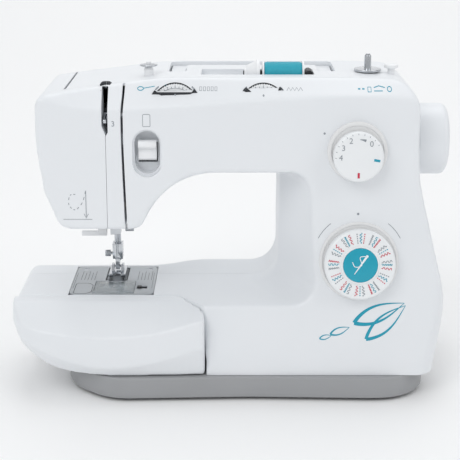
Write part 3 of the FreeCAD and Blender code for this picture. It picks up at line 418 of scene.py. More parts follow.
carve(casing, joined("small_openings", block("lever_way", (-76.1, -41.5, 196.2), (-59.9, -36, 213.4)),
                     slab("recess_join", recess, "Y", -0.0516, -0.0508),
                     *[turned("thumb_hole", [(0, 0), (20.9, 0), (20.9, 9.6), (0, 9.6)],
                              (x, THUMB_BACK_Y + 0.8, THUMB_Z), steps=64) for x in THUMB_X]))
# What lies at the bottom of an opening that goes right through: its axis, its place and its box in mm.
open_ends = [("Y", -30, (-106, 219, -98, 261)), ("Y", -37, (-91, 140, -84, 276)),
             ("Z", 74, (-140, -46, -65, 28)), ("Z", 149, (-119, -27, -78, 51)),
             ("Z", 184, (-107, 50, -95, 81)),
             ("Y", 51, (-107, 138, -95, 185)), ("X", 136, (-15, 192, 15, 222)),
             ("Y", -36, (-77, 195, -59, 215)),
             ("Z", 257, (112, -9, 126, -1)), ("X", 144, (15, 39, 41, 89))]


def is_open_end(p):
    """Whether a face with its middle here closes an opening that goes right through."""
    flat = {"X": (p.x, p.y, p.z), "Y": (p.y, p.x, p.z), "Z": (p.z, p.x, p.y)}
    for axis, place, (a0, b0, a1, b1) in open_ends:
        at, a, b = (value / MM for value in flat[axis])
        if abs(at - place) < 0.02 and a0 < a < a1 and b0 < b < b1:
            return True
    return False


def portion(name, planes, keep):
    """A copy of the casing's skin cut along planes, with only the faces whose middle is to be kept."""
    piece = casing.copy()
    piece.data = casing.data.copy()
    bpy.context.collection.objects.link(piece)
    piece.name = piece.data.name = name
    alone(piece)
    bpy.ops.object.mode_set(mode="EDIT")
    for axis, place in planes:
        normal = Vector((axis == "X", axis == "Y", axis == "Z"))
        bpy.ops.mesh.select_all(action="SELECT")
        bpy.ops.mesh.bisect(plane_co=normal * place, plane_no=normal)
    bpy.ops.mesh.select_all(action="DESELECT")
    bpy.ops.mesh.select_mode(type="FACE")
    bpy.ops.object.mode_set(mode="OBJECT")
    for face in piece.data.polygons:
        face.select = is_open_end(face.center) or not keep(face.center)
    bpy.ops.object.mode_set(mode="EDIT")
    bpy.ops.mesh.delete(type="FACE")
    bpy.ops.object.mode_set(mode="OBJECT")
    piece["outer_faces"] = len(piece.data.polygons)
    return apply(piece, "SOLIDIFY", thickness=WALL, offset=-1, use_even_offset=False, use_rim=True)


rim_z = 22 * MM
top_low = TOP_Z - 9 * MM


HANDLE_AREA, SPOOL_AREA = (-0.0535, 0.0905, -0.0065, 0.0485), (-0.0245, 0.0705, -0.0222, 0.0062)
POCKET_FLOOR_Z, FACE_LOW_Z = 0.2505, 0.1


def in_top(p, grow):
    """Whether a place is in the top cover, which takes in the pockets of the handle and the spool."""
    in_pocket = any(x0 < p.x < x1 and y0 < p.y < y1 for x0, x1, y0, y1 in (HANDLE_AREA, SPOOL_AREA))
    return p.y > TOP_FRONT_Y - grow and (p.z > top_low - grow or p.z > POCKET_FLOOR_Z and in_pocket)


def in_face(p, grow):
    """Whether a place is in the face cover, left of the take-up slot."""
    return p.x < FACE_X + grow and p.y < FACE_BACK_Y + grow and p.z > FACE_LOW_Z


top_cover = portion("top_cover_shell", [("Z", top_low), ("Y", TOP_FRONT_Y)], lambda p: in_top(p, 0))
face_cover = portion("face_cover_shell",
                     [("X", FACE_X), ("Y", FACE_BACK_Y), ("Z", FACE_LOW_Z), ("Z", top_low - SEAM),
                      ("Y", TOP_FRONT_Y - SEAM)],
                     lambda p: in_face(p, 0) and not in_top(p, SEAM))
rest_planes = [("X", FACE_X + SEAM), ("Y", FACE_BACK_Y + SEAM), ("Z", FACE_LOW_Z), ("Z", top_low - SEAM),
               ("Z", rim_z), ("Y", TOP_FRONT_Y - SEAM)]


def in_rest(p):
    """Whether a place is in the front or rear cover."""
    return p.z > rim_z and not in_top(p, SEAM) and not in_face(p, SEAM)


front_cover = portion("front_cover_shell", rest_planes + [("Y", SPLIT_Y)],
                      lambda p: in_rest(p) and p.y < SPLIT_Y)
rear_cover = portion("rear_cover_shell", rest_planes + [("Y", SPLIT_Y + SEAM)],
                     lambda p: in_rest(p) and p.y > SPLIT_Y + SEAM)
bpy.data.objects.remove(casing)


def material(name, colours, patch, rough, grain, depth, stretch=(1, 1, 1), **shader):
    """A finish: two hex colours that drift over patches of a size in mm, a range of roughness that drifts
    with them, and a surface relief whose grain and depth are in mm. The rest are the shader's own sockets."""
    made = bpy.data.materials.new(name)
    made.use_nodes = True
    tree = made.node_tree
    skin = tree.nodes["Principled BSDF"]
    place = node(tree, "ShaderNodeTexCoord")
    drawn = node(tree, "ShaderNodeMapping", [("Vector", place, "Object")], Scale=stretch)
    drift = node(tree, "ShaderNodeTexNoise", [("Vector", drawn, "Vector")], Scale=1 / (patch * MM),
                 Detail=3.0)
    tint = node(tree, "ShaderNodeMixRGB", [("Fac", drift, "Fac")], Color1=linear(colours[0]),
                Color2=linear(colours[1]))
    wear = node(tree, "ShaderNodeMapRange", [("Value", drift, "Fac")], To_Min=rough[0], To_Max=rough[1])
    fine = node(tree, "ShaderNodeTexNoise", [("Vector", drawn, "Vector")], Scale=1 / (grain * MM),
                Detail=2.0)
    relief = node(tree, "ShaderNodeBump", [("Height", fine, "Fac")], Distance=depth * MM, Strength=1.0)
    tree.links.new(tint.outputs["Color"], skin.inputs["Base Color"])
    tree.links.new(wear.outputs["Result"], skin.inputs["Roughness"])
    tree.links.new(relief.outputs["Normal"], skin.inputs["Normal"])
    for socket, value in shader.items():
        skin.inputs[socket.replace("_", " ")].default_value = value
    return made


def finish(piece, body, slot, made, *nodes, angle=35):
    """Smooths a finished piece, gives it its material, says what it moves with, and hides the CAD nodes that it
    stands for.
    """
    alone(piece)
    bpy.ops.object.shade_smooth_by_angle(angle=math.radians(angle))
    if not piece.data.materials:
        piece.data.materials.append(made)
    piece.data.materials[0] = made
    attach(piece, body)
    if nodes:
        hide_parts(*nodes)
    return piece


def bevelled(piece, width, segments=2, angle=30):
    """Rounds the piece's sharp edges by a width in mm."""
    return apply(piece, "BEVEL", width=width * MM, segments=segments, limit_method="ANGLE",
                 angle_limit=math.radians(angle), use_clamp_overlap=True)


# ABS with a fine spark-eroded grain: a soft even sheen, a hair bluer where it is thin. The real grain of
# 0.05 mm is too fine to show, so it is drawn at 0.4 mm.
white_abs = material("moulded_white_abs", ("#E7EAED", "#ECEEF1"), 60, (0.30, 0.38), 0.4, 0.004, IOR=1.54)
# The wall's inner side is drawn nearly black, far darker than the white ABS really is there: this is painted
# shade, so that the slots read as dark gaps.
inner_wall_painted_shade = material("painted_shade_inner_wall", ("#2A2C30", "#34363A"), 20, (0.75, 0.85), 0.8, 0.01)


def mark_inside(cover, outer_faces):
    """Gives the wall's inner faces, which come after the outer ones, the near-black painted shade."""
    cover.data.materials.append(white_abs)
    cover.data.materials.append(inner_wall_painted_shade)
    for face in cover.data.polygons[outer_faces:2 * outer_faces]:
        face.material_index = 1


for cover in (top_cover, face_cover, front_cover, rear_cover):
    mark_inside(cover, cover["outer_faces"])

# The bosses round the dials are moulded with the front cover.
length_ring = turned("length_ring", rounded([(0, -6, 0), (24.5, -6, 0), (24.5, 3.5, 1.6), (21.6, 3.5, 0.4),
                                             (21.0, 2.6, 0.4), (0, 2.6, 0)], 5),
                     LENGTH_AT + Vector((0, 0, 3)), LENGTH_WAY, 96)
pattern_ring = turned("pattern_ring", rounded([(0, -6, 0), (33, -6, 0), (33, 1.5, 1.2), (30.8, 1.5, 0.3),
                                               (30.2, 0.9, 0.3), (0, 0.9, 0)], 5),
                      PATTERN_AT + Vector((0, 0, 1.5)),
                      PATTERN_WAY, 96)
front_cover = joined("front_cover_shell", front_cover, length_ring, pattern_ring)
finish(top_cover, "casing", "housing_white", white_abs, "top_cover")
finish(face_cover, "face_cover", "housing_white", white_abs, "face_cover")
finish(front_cover, "casing", "housing_white", white_abs, "front_cover")
finish(rear_cover, "casing", "housing_white", white_abs, "rear_cover")

# ---- Base tray and feet -----------------------------------------------------------------------------------
# The base is a grey ABS tray, screwed to the frame from below, with a radius all round its upper edge. Four
# rubber feet are pressed into bosses in its corners.

grey_abs = material("moulded_grey_abs", ("#9A9B9D", "#A2A3A5"), 50, (0.42, 0.5), 0.5, 0.006, IOR=1.54)
tray_plan = rounded(mm((-141, -60, 50), (-101, -91, 45), (16, -87, 300), (120, -90, 90), (167, -86, 42),
                       (167, 92.2, 45), (-141, 92.2, 45)), 12)
tray = slab("base_tray_shell", tray_plan, "Z", 0.003, 0.0217)
tray.data.polygons.foreach_set("select", [face.normal.z < -0.9 for face in tray.data.polygons])
bpy.ops.object.mode_set(mode="EDIT")
bpy.ops.mesh.select_mode(type="FACE")
bpy.ops.mesh.inset(thickness=0.003)
bpy.ops.mesh.extrude_region_move(TRANSFORM_OT_translate={"value": (0, 0, 0.0145)})
bpy.ops.object.mode_set(mode="OBJECT")
bevelled(tray, 1.6, 4, 50)
finish(tray, "casing", "base_grey", grey_abs, "base_tray")
rubber = material("moulded_black_rubber", ("#1B1C1D", "#232425"), 4, (0.65, 0.8), 0.3, 0.01)
feet = []
for x, y in ((-100, -58), (-100, 66), (140, -62), (140, 66)):
    profile = rounded([(0, 0, 0), (6.4, 0, 0.5), (8, 1.2, 0.6), (8, 3, 0), (9.8, 3, 0), (9.8, 17, 0),
                       (0, 17, 0)], 4)
    feet.append(turned("foot", profile, (x, y, 0), (0, 0, 1), 40))
feet = joined("rubber_feet_moulded", *feet)
finish(feet, "casing", "black_rubber", rubber, "rubber_feet")

# ---- Extension table --------------------------------------------------------------------------------------
# The table slides onto the free arm from the left. It is a box of the same white ABS, with a fold along its
# front, a rounded left end and a store for small things behind.

stations = mm((-184.5, -60, 72, -62, 64, -58, 58), (-173, -79, 64.5, -82, 54, -74, 44),
              (-146, -89, 61.5, -91.5, 42, -84, 29), (-105, -90, 57.5, -92, 31.4, -86, 22.6),
              (-60, -90, 62, -92, 37.7, -86, 22.6), (-10, -88, 77, -90.5, 54, -84, 22.6))
spread = [smooth_line([(s[0], s[k], s[k + 1]) for s in stations], 8) for k in (1, 3, 5)]
sections = []
for fold, lower, under in zip(*spread):
    x, back = fold.x, -0.0474
    low = max(under.z, 0.0223)
    sections.append([(x, back, BED_Z), (x, -0.058, BED_Z - 0.0008), tuple(fold), tuple(lower),
                     (x, under.y, low),
                     (x, back, low)])
table = bridged("extension_table_shell", sections)
corner = rounded(mm((-230, -47.4, 0), (-45.5, -47.4, 8), (-21.2, -72, 26), (-21.2, -130, 0),
                    (-230, -130, 0)))
carve(table, slab("table_end", corner, "Z", 0, 0.13), "INTERSECT")
soften(table, 1.5 * MM, 5)
store = rounded(mm((-172, -30, 0), (-172, -60, 10), (-60, -84, 12), (-50, -60, 8), (-50, -30, 0)))
carve(table, slab("store", store, "Z", 0.030, 0.056))
finish(table, "extension_table", "housing_white", white_abs, "extension_table", angle=40)

# ---- Dials and thumbwheels --------------------------------------------------------------------------------
# Two white ABS knobs turn on the leaning front, and two toothed thumbwheels look out of arches in the top's
# skirt. They are moulded, and pushed onto their shafts from outside.

dial_abs = material("glossy_dial_abs", ("#EDEFF1", "#F1F3F4"), 30, (0.22, 0.3), 0.4, 0.003, IOR=1.54)


def toothed(centre, radius, teeth, depth):
    """The outline of a wheel with fine round teeth, in mm round a centre."""
    points = []
    for k in range(teeth * 4):
        reach = radius - depth * (0.5 + 0.5 * math.cos(2 * math.pi * k / 4))
        turn = 2 * math.pi * k / (teeth * 4)
        points.append(((centre[0] + reach * math.cos(turn)) * MM, (centre[1] + reach * math.sin(turn)) * MM))
    return points


length_dial = turned("length_dial_knob", rounded([(0, -18, 0), (4, -18, 0.5), (4, 4, 0), (20.5, 4, 0.6),
                                                  (20.5, 13.5, 2.4), (0, 13.5, 0)], 6), LENGTH_AT,
                     LENGTH_WAY, 96)
finish(length_dial, "stitch_length_dial", "dial_white", dial_abs, "stitch_length_dial")
pattern_dial = turned("pattern_dial_knob", rounded([(0, -42, 0), (4.5, -42, 0.5), (4.5, 2, 0),
                                                    (29.5, 2, 0.6),
                                                    (29.5, 11.5, 2.6), (15.8, 11.5, 0.3), (15.8, 12.6, 0.5),
                                                    (14.4, 12.6, 0.3), (14.4, 11.9, 0), (0, 11.9, 0)], 6),
                      PATTERN_AT, PATTERN_WAY, 96)
finish(pattern_dial, "pattern_dial", "dial_white", dial_abs, "pattern_dial")
teal_cap = material("teal_lacquered_cap", ("#1A9CB5", "#21A6BE"), 12, (0.2, 0.28), 0.4, 0.002, IOR=1.5)
cap = turned("pattern_dial_cap", rounded([(0, 11.0, 0), (14.3, 11.0, 0), (14.3, 12.8, 0.5), (0, 13.0, 0)],
                                         5),
             PATTERN_AT, PATTERN_WAY, 72)
finish(cap, "pattern_dial", "dial_white", teal_cap)
for x, body in zip(THUMB_X, ("tension_dial", "stitch_width_dial")):
    tyre = slab(body + "_tyre", toothed((x, THUMB_Z), 20, 60, 0.7), "Y", (THUMB_BACK_Y - 8) * MM,
                THUMB_BACK_Y * MM)
    hub = turned(body + "_hub", rounded([(0, -4.4, 0), (4, -4.4, 0.4), (4, 0.3, 0), (17.6, 0.3, 0),
                                         (17.6, 8.4, 0.4), (0, 8.4, 0)], 4), (x, THUMB_BACK_Y, THUMB_Z),
                 steps=48)
    wheel = joined(body + "_wheel", bevelled(tyre, 0.25, 2, 50), hub)
    finish(wheel, body, "dial_white", dial_abs, body)

# ---- Reverse lever ----------------------------------------------------------------------------------------
# A white ABS lever with a thumb roll, in its stepped oval recess. It pivots on a pin inside the front cover.

lever_abs = material("moulded_lever_abs", ("#F0F1F3", "#F5F6F7"), 20, (0.26, 0.34), 0.4, 0.004, IOR=1.54)


def eased(name, width, segments=2):
    """A copy of a CAD node as one skin, with its sharp edges rounded by a width in mm."""
    piece = frame["nodes"][name].copy()
    piece.data = piece.data.copy()
    bpy.context.collection.objects.link(piece)
    piece.parent = None
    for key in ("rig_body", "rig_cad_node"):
        if key in piece:
            del piece[key]
    piece.data.materials.clear()
    piece.name = piece.data.name = name + "_eased"
    alone(piece)
    edit_all()
    bpy.ops.mesh.remove_doubles(threshold=MERGE)
    bpy.ops.mesh.dissolve_limited(angle_limit=math.radians(1))
    outward()
    return bevelled(piece, width, segments)


def finish_eased(name, width, body, slot, made, segments=2):
    """Rounds a copy of a CAD node and finishes it in that node's place."""
    return finish(eased(name, width, segments), body, slot, made, name)


finish_eased("reverse_lever", 0.7, "reverse_lever", "lever_white", lever_abs, 3)

# ---- Handwheel --------------------------------------------------------------------------------------------
# The handwheel is moulded in white ABS, hollow behind, and pressed onto the main shaft. Its rim is rounded
# over to the outside and its cap lies a little lower.

handwheel = turned("handwheel_rim", rounded(
    [(4.1, 153.2, 0), (11.5, 153.2, 0.5), (11.5, 161, 0), (13, 161, 0), (13, 181.2, 0.5), (27.5, 181.2, 1),
     (27.5, 159.2, 0), (30.5, 159.2, 0.6), (30.5, 185.1, 5.5), (19, 185.1, 0.6), (18.4, 184.1, 0.3),
     (0, 184.1, 0),
     (0, 182.3, 0), (4.1, 182.3, 0)], 7), (0, 0, 207), (1, 0, 0), 128)
finish(handwheel, "main_shaft", "housing_white", white_abs, "handwheel")

# ---- Carrying handle --------------------------------------------------------------------------------------
# The handle lies folded in its pocket in the top cover. It is one ABS moulding with round ends on two pins.

finish_eased("carry_handle", 1.4, "carry_handle", "housing_white", white_abs, 3)

# ---- Spool, cap and pin -----------------------------------------------------------------------------------
# A spool of teal polyester thread lies on a black pin in the trough, held by a white cone-shaped cap.

thread = material("wound_polyester_thread", ("#1FA3BA", "#2BB3C6"), 3, (0.45, 0.6), 0.35, 0.03, IOR=1.5,
                  Sheen_Weight=0.3, Sheen_Roughness=0.4)
# Each turn of the thread, drawn 0.5 mm wide where the real one is 0.25 mm, so that the winding shows.
tree = thread.node_tree
turns = node(tree, "ShaderNodeTexWave", [("Vector", tree.nodes["Texture Coordinate"], "Object")],
             bands_direction="X", Scale=math.pi / (10 * 0.5 * MM), Distortion=1.5, Detail=1.0)
winding = node(tree, "ShaderNodeBump", [("Height", turns, "Fac"), ("Normal", tree.nodes["Bump"], "Normal")],
               Distance=0.00012, Strength=0.9)
tree.links.new(winding.outputs["Normal"], tree.nodes["Principled BSDF"].inputs["Normal"])
spool_at, along = (0, -8, 265), (1, 0, 0)
wound = turned("wound_thread", rounded([(5, 28.7, 0), (8.6, 28.7, 0.6), (9.5, 31, 3), (9.5, 58, 3),
                                        (8.6, 60.3, 0.6), (5, 60.3, 0)], 5), spool_at, along, 64)
finish(wound, "thread_spool", "thread_teal", thread, "thread_spool")
core_rings = [rounded([(2.9, a, 0), (10.5, a, 0.3), (10.5, a + 1.6, 0.3), (2.9, a + 1.6, 0)], 3)
              for a in (27, 60.4)]
core = joined("spool_core", *[turned("spool_flange", ring, spool_at, along, 64) for ring in core_rings],
              turned("spool_tube", [(2.9, 28), (5.2, 28), (5.2, 61), (2.9, 61)], spool_at, along, 40))
finish(core, "thread_spool", "lever_white", lever_abs)
cone = turned("spool_cap_cone", rounded([(2.7, 12, 0), (4, 12, 0.5), (4, 14, 0.6), (6.5, 14, 0.6),
                                         (10.6, 22, 1),
                                         (11.5, 22, 0.4), (11.5, 25, 0.7), (2.7, 25, 0)], 5), spool_at,
              along, 64)
finish(cone, "spool_cap", "lever_white", lever_abs, "spool_cap")
black_abs = material("moulded_black_plastic", ("#1D1E20", "#25262A"), 10, (0.35, 0.5), 0.4, 0.005, IOR=1.52)
pin = turned("spool_pin_rod", rounded([(0, 11, 0), (2.4, 11, 1.2), (2.4, 66, 0), (0, 66, 0)], 5), spool_at,
             along, 32)
knuckle = turned("spool_pin_knuckle", rounded([(0, 0, 0), (3.4, 0, 0.5), (3.4, 16, 0.5), (0, 16, 0)], 4),
                 (66, 0, 265), (0, -1, 0), 32)
finish(joined("spool_pin_turned", pin, knuckle), "spool_pin", "dark_plastic", black_abs, "spool_pin")

# ---- Bobbin winder and winding guide ----------------------------------------------------------------------
# A chromed spindle with a white seat stands at the right of the top, with its stopper beside it. The winding
# guide on the left is a white post with a chromed tension disc.

chrome = material("polished_chrome_plate", ("#B9BCC0", "#D3D6DA"), 6, (0.08, 0.16), 1.2, 0.002, Metallic=1.0)
upright_axis = (0, 0, 1)
spindle = turned("winder_spindle_rod", rounded(
    [(0, 246, 0), (7, 246, 0.4), (7, 252.6, 0.4), (2.5, 252.6, 0), (2.5, 266.6, 0), (11.5, 266.6, 0.5),
     (11.5, 268.4, 0.5), (2.9, 268.4, 0.3), (2.9, 279.2, 0.8), (1.6, 281, 0.6), (0, 281, 0)], 5),
    (116, -5, 0), upright_axis, 56)
finish(spindle, "winder_spindle", "chrome", chrome, "winder_spindle")
stopper = turned("winder_stopper_post", rounded([(0, 262, 0), (3, 262, 0.2), (3, 269, 0.3), (6, 269, 0.5),
                                                 (6, 272, 0.8), (0, 272, 0)], 5), (136, -5, 0), upright_axis,
                 48)
finish(stopper, "casing", "lever_white", lever_abs, "winder_stopper")
guide_disc = turned("winding_guide_disc", rounded([(2.1, 271.2, 0), (4, 271.2, 0.3), (7.5, 272.4, 0.3),
                                                   (7.5, 273.2, 0.3), (4, 274, 0.3), (2.1, 274, 0)], 4),
                    (-68, -14, 0), upright_axis, 48)
finish(guide_disc, "casing", "chrome", chrome, "winding_guide")
guide_post = turned("winding_guide_post", rounded([(0, 261.5, 0), (4, 261.5, 0.2), (4, 269, 0.6),
                                                   (3, 271.2, 0.4), (2, 271.2, 0), (2, 276, 0.7),
                                                   (0, 276, 0)], 5), (-68, -14, 0), upright_axis, 40)
finish(guide_post, "casing", "lever_white", lever_abs)

# ---- Needle, presser and threader -------------------------------------------------------------------------
# Two chromed bars come down through the head. The front one holds the needle in a clamp with a knurled
# screw, and the rear one the snap-on foot. The threader's white lever hangs beside them.

NEEDLE_X, PRESSER_Y, SCREW_Z, HOLDER_Z = -101, 13, 126.5, 98
bar = rounded([(0, 124, 0), (3, 124, 0.5), (3, 237, 0.5), (0, 237, 0)], 4)
needle_bar = joined("needle_bar_ground", turned("bar", bar, (NEEDLE_X, 0, 0), upright_axis, 40),
                    eased("needle_bar", 0.3))
finish(needle_bar, "needle_bar", "chrome", chrome, "needle_bar")
bar = rounded([(0, 92, 0), (3, 92, 0.5), (3, 214, 0.5), (0, 214, 0)], 4)
presser_bar = joined("presser_bar_ground", turned("bar", bar, (NEEDLE_X, PRESSER_Y, 0), upright_axis, 40),
                     eased("presser_bar", 0.3))
finish(presser_bar, "presser_bar", "chrome", chrome, "presser_bar")
wire, reach, low, high, turns = 0.65, 4.4, 168.7, 198.8, 11
bpy.ops.mesh.primitive_grid_add(x_subdivisions=turns * 20, y_subdivisions=10, size=1)
spring = added("presser_spring_coil")
for vertex in spring.data.vertices:
    along_wire, round_wire = (vertex.co.x + 0.5) * turns * 2 * math.pi, (vertex.co.y + 0.5) * 2 * math.pi
    out = reach + wire * math.cos(round_wire)
    rise = low + (high - low) * (vertex.co.x + 0.5) + wire * math.sin(round_wire)
    vertex.co = Vector((NEEDLE_X + out * math.cos(along_wire), PRESSER_Y + out * math.sin(along_wire),
                        rise)) * MM
edit_all()
bpy.ops.mesh.remove_doubles(threshold=MERGE)
bpy.ops.mesh.fill_holes(sides=0)
outward()
spring_steel = material("oiled_spring_steel", ("#7E8286", "#94989C"), 4, (0.25, 0.35), 0.4, 0.003,
                        Metallic=1.0)
finish(spring, "casing", "steel_satin", spring_steel, "presser_spring")
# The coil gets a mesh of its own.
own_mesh(spring)
finish_eased("needle_clamp", 0.6, "needle_bar", "chrome", chrome, 3)
needle_line = [(0, 95.8), (0.12, 96.1), (0.45, 99), (0.45, 111.6), (1.0, 113), (1.0, 124), (0, 124)]
needle = turned("needle_blade", needle_line, (NEEDLE_X, 0, 0), upright_axis, 24)
finish(needle, "needle_bar", "chrome", chrome, "needle")
knurl = slab("clamp_screw_knurl", toothed((0, SCREW_Z), 3.6, 24, 0.35), "X", -0.0925, -0.085)
stem = turned("clamp_screw_stem", [(0, -96.5), (1.5, -96.5), (1.5, -92.4), (0, -92.4)], (0, 0, SCREW_Z),
              (1, 0, 0), 24)
finish(joined("needle_clamp_screw_knurled", bevelled(knurl, 0.25, 2, 50), stem), "needle_bar", "chrome",
       chrome,
       "needle_clamp_screw")
knurl = slab("holder_screw_knurl", toothed((PRESSER_Y, HOLDER_Z), 3.0, 22, 0.3), "X", -0.1125, -0.1075)
stem = turned("holder_screw_stem", [(0, -107.6), (1.3, -107.6), (1.3, -105.5), (0, -105.5)],
              (0, PRESSER_Y, HOLDER_Z), (1, 0, 0), 24)
finish(joined("holder_screw_knurled", bevelled(knurl, 0.25, 2, 50), stem), "presser_bar", "chrome", chrome,
       "holder_screw")
finish_eased("presser_foot_holder", 0.6, "presser_bar", "chrome", chrome, 3)
finish_eased("presser_foot", 0.3, "presser_foot", "chrome", chrome)
finish_eased("take_up_lever", 0.4, "take_up_lever", "chrome", chrome)
finish_eased("needle_threader", 0.7, "threader", "lever_white", lever_abs, 3)
lifter_grey = material("moulded_grey_lever", ("#B4B8BD", "#BCC0C5"), 20, (0.35, 0.45), 0.5, 0.005, IOR=1.52)
finish_eased("presser_lifter", 0.9, "presser_lifter", "lever_grey", lifter_grey, 3)

# ---- Needle plate and bobbin cover ------------------------------------------------------------------------
# A satin steel plate is held by two slotted screws. It has slots for the feed, guide lines, and an opening
# for the clear cover that slides over the bobbin, released by a dark latch.

satin = material("satin_ground_steel", ("#A9ADB1", "#BABEC2"), 9, (0.28, 0.42), 0.5, 0.004,
                 stretch=(1, 7, 1), Metallic=1.0)
plate = eased("needle_plate", 0.45, 3)
finish(plate, "casing", "plate_steel", satin, "needle_plate")
finish_eased("plate_screws", 0.15, "casing", "chrome", chrome)
clear = material("clear_acrylic", ("#E6EEF2", "#EEF4F7"), 20, (0.04, 0.1), 0.8, 0.002, IOR=1.49,
                 Transmission_Weight=0.75)
cover_plan = rounded(mm((-118.5, -42, 2.5), (-83.5, -42, 2.5), (-83.5, -12, 2.5), (-118.5, -12, 2.5)), 6)
bobbin_cover = slab("bobbin_cover_clear", cover_plan, "Z", 0.078, 0.0799)
finish(bevelled(bobbin_cover, 0.4, 3), "bobbin_cover", "clear_plastic", clear, "bobbin_cover")
finish_eased("cover_latch", 0.5, "cover_latch", "dark_plastic", black_abs, 3)
spool_line = rounded([(3, 65, 0), (10.2, 65, 0.3), (10.2, 66.2, 0.3), (6, 66.2, 0.3), (6, 75.4, 0.3),
                      (10.2, 75.4, 0.3), (10.2, 76.6, 0.3), (3, 76.6, 0)], 4)
finish(turned("bobbin_moulded", spool_line, (NEEDLE_X, -22, 0), upright_axis, 56), "bobbin", "clear_plastic",
       clear, "bobbin")
feed_steel = material("machined_feed_steel", ("#8E9296", "#A2A6AA"), 5, (0.25, 0.4), 0.4, 0.005,
                      Metallic=1.0)
finish_eased("feed_dog", 0.12, "feed_dog", "steel_satin", feed_steel, 1)

# Engraved seam guides, filled with dark paint, lie on both sides of the foot.
engraving = material("dark_engraving_paint", ("#4A4E52", "#565A5E"), 4, (0.5, 0.6), 0.3, 0.002)
marks = []
for side, first in ((1, -82.0), (-1, -120.5)):
    for k in range(5):
        x = first + side * 3 * k
        marks.append(block("seam_guide", (x - 0.18, -9, 79.9), (x + 0.18, 14 - (k % 2) * 4, 80.04)))
for x, y0, y1 in ((-137.2, -30, 10), (-68.4, -30, 10)):
    marks.append(block("seam_guide", (x - 0.15, y0, 79.9), (x + 0.15, y1, 80.03)))
insert = rounded(mm((-135.6, -17, 3), (-124, -17, 3), (-119.8, -22, 4), (-119.8, -39, 4), (-124, -43.4, 3),
                    (-135.6, -43.4, 3)), 5)
inner = rounded(mm((-135.0, -17.6, 2.5), (-124.3, -17.6, 2.5), (-120.4, -22.3, 3.5), (-120.4, -38.7, 3.5),
                   (-124.3, -42.8, 2.5), (-135.0, -42.8, 2.5)), 5)
marks.append(carve(slab("insert_edge", insert, "Z", 0.0799, 0.08004),
                   slab("inner", inner, "Z", 0.079, 0.081)))
finish(joined("seam_guides", *marks), "casing", "dark_plastic", engraving)

# ---- Power inlet and switch -------------------------------------------------------------------------------
# A black moulded inlet with two pins sits in the right side, with a rocker switch above it.

finish_eased("power_inlet", 0.6, "casing", "dark_plastic", black_abs, 3)
finish_eased("power_switch", 0.7, "power_switch", "dark_plastic", black_abs, 3)
pins = [turned("inlet_pin", rounded([(0, 165.5, 0), (1.2, 165.5, 0), (1.2, 175, 0.7), (0, 175, 0)], 4),
               (0, y, 51), (1, 0, 0), 24) for y in (23.5, 32.5)]
finish(joined("inlet_pins", *pins), "casing", "chrome", chrome)

# ---- Machinery inside -------------------------------------------------------------------------------------
# The frame, shafts, gears, belts and motor show through the slots and when a cover is off. They keep their
# shapes, and each gets the finish of what it is made of.

cast = material("painted_die_casting", ("#6F7377", "#7B7F83"), 25, (0.5, 0.65), 0.9, 0.02)
ground = material("ground_shaft_steel", ("#9FA3A7", "#B4B8BB"), 8, (0.2, 0.35), 0.6, 0.003, Metallic=1.0)
can = material("painted_motor_can", ("#34373A", "#3D4043"), 15, (0.4, 0.55), 0.7, 0.006)
acetal = material("natural_acetal_gear", ("#D9D3C2", "#E2DCCC"), 12, (0.35, 0.5), 0.6, 0.004, IOR=1.48)
hook = material("satin_hook_steel", ("#8A8E92", "#A0A4A8"), 7, (0.2, 0.32), 0.5, 0.003, Metallic=1.0)
lens = material("frosted_lamp_lens", ("#F2EEDF", "#F8F5EA"), 5, (0.3, 0.4), 0.5, 0.003, IOR=1.49,
                Emission_Strength=0.4)
lens.node_tree.nodes["Principled BSDF"].inputs["Emission Color"].default_value = linear("#FFF2D8")
inside = {"cast_alloy": cast, "steel_satin": ground, "motor_steel": can, "gear_plastic": acetal,
          "hook_steel": hook,
          "lamp_lens": lens, "black_rubber": rubber, "dark_plastic": black_abs, "chrome": chrome,
          "clear_plastic": clear, "lever_grey": lifter_grey, "lever_white": lever_abs, "plate_steel": satin,
          "dial_white": dial_abs, "thread_teal": thread, "housing_white": white_abs, "base_grey": grey_abs}
for part in frame["record"]["subparts"]:
    solid = frame["nodes"][part["node"]]
    solid.data.materials.clear()
    solid.data.materials.append(inside[part["material_slot"]])

# ---- Prints -----------------------------------------------------------------------------------------------
# The marks are pad-printed in grey, teal and red ink, a few hundredths of a millimetre thick: numbers and
# icons at the dials, stitches round the pattern dial, a threading picture on the head, and leaves on the
# column.

grey_ink = material("grey_printing_ink", ("#8C9298", "#969CA2"), 3, (0.4, 0.5), 0.3, 0.001)
teal_ink = material("teal_printing_ink", ("#1797B0", "#1F9FB8"), 3, (0.35, 0.45), 0.3, 0.001)
red_ink = material("red_printing_ink", ("#C8324A", "#D03A52"), 3, (0.35, 0.45), 0.3, 0.001)


INK_FROM_Y = -0.12       # marks are drawn here, in front of the machine, and then laid onto it


def stroke(points, width):
    """A flat inked line through (x, z) points in mm; the width is one value, or one for each end."""
    points = [Vector(p) for p in points]
    first, last = width if isinstance(width, tuple) else (width, width)
    bpy.ops.mesh.primitive_grid_add(x_subdivisions=len(points) - 1, y_subdivisions=1, size=1)
    piece = added("stroke")
    columns = sorted(piece.data.vertices, key=lambda v: (round(v.co.x, 5), v.co.y))
    for k, (low, high) in enumerate(zip(columns[::2], columns[1::2])):
        ahead = (points[min(k + 1, len(points) - 1)] - points[max(k - 1, 0)]).normalized()
        out = Vector((-ahead.y, ahead.x)) * (first + (last - first) * k / (len(points) - 1)) / 2
        for vertex, place in ((low, points[k] - out), (high, points[k] + out)):
            vertex.co = (place.x * MM, INK_FROM_Y, place.y * MM)
    return piece


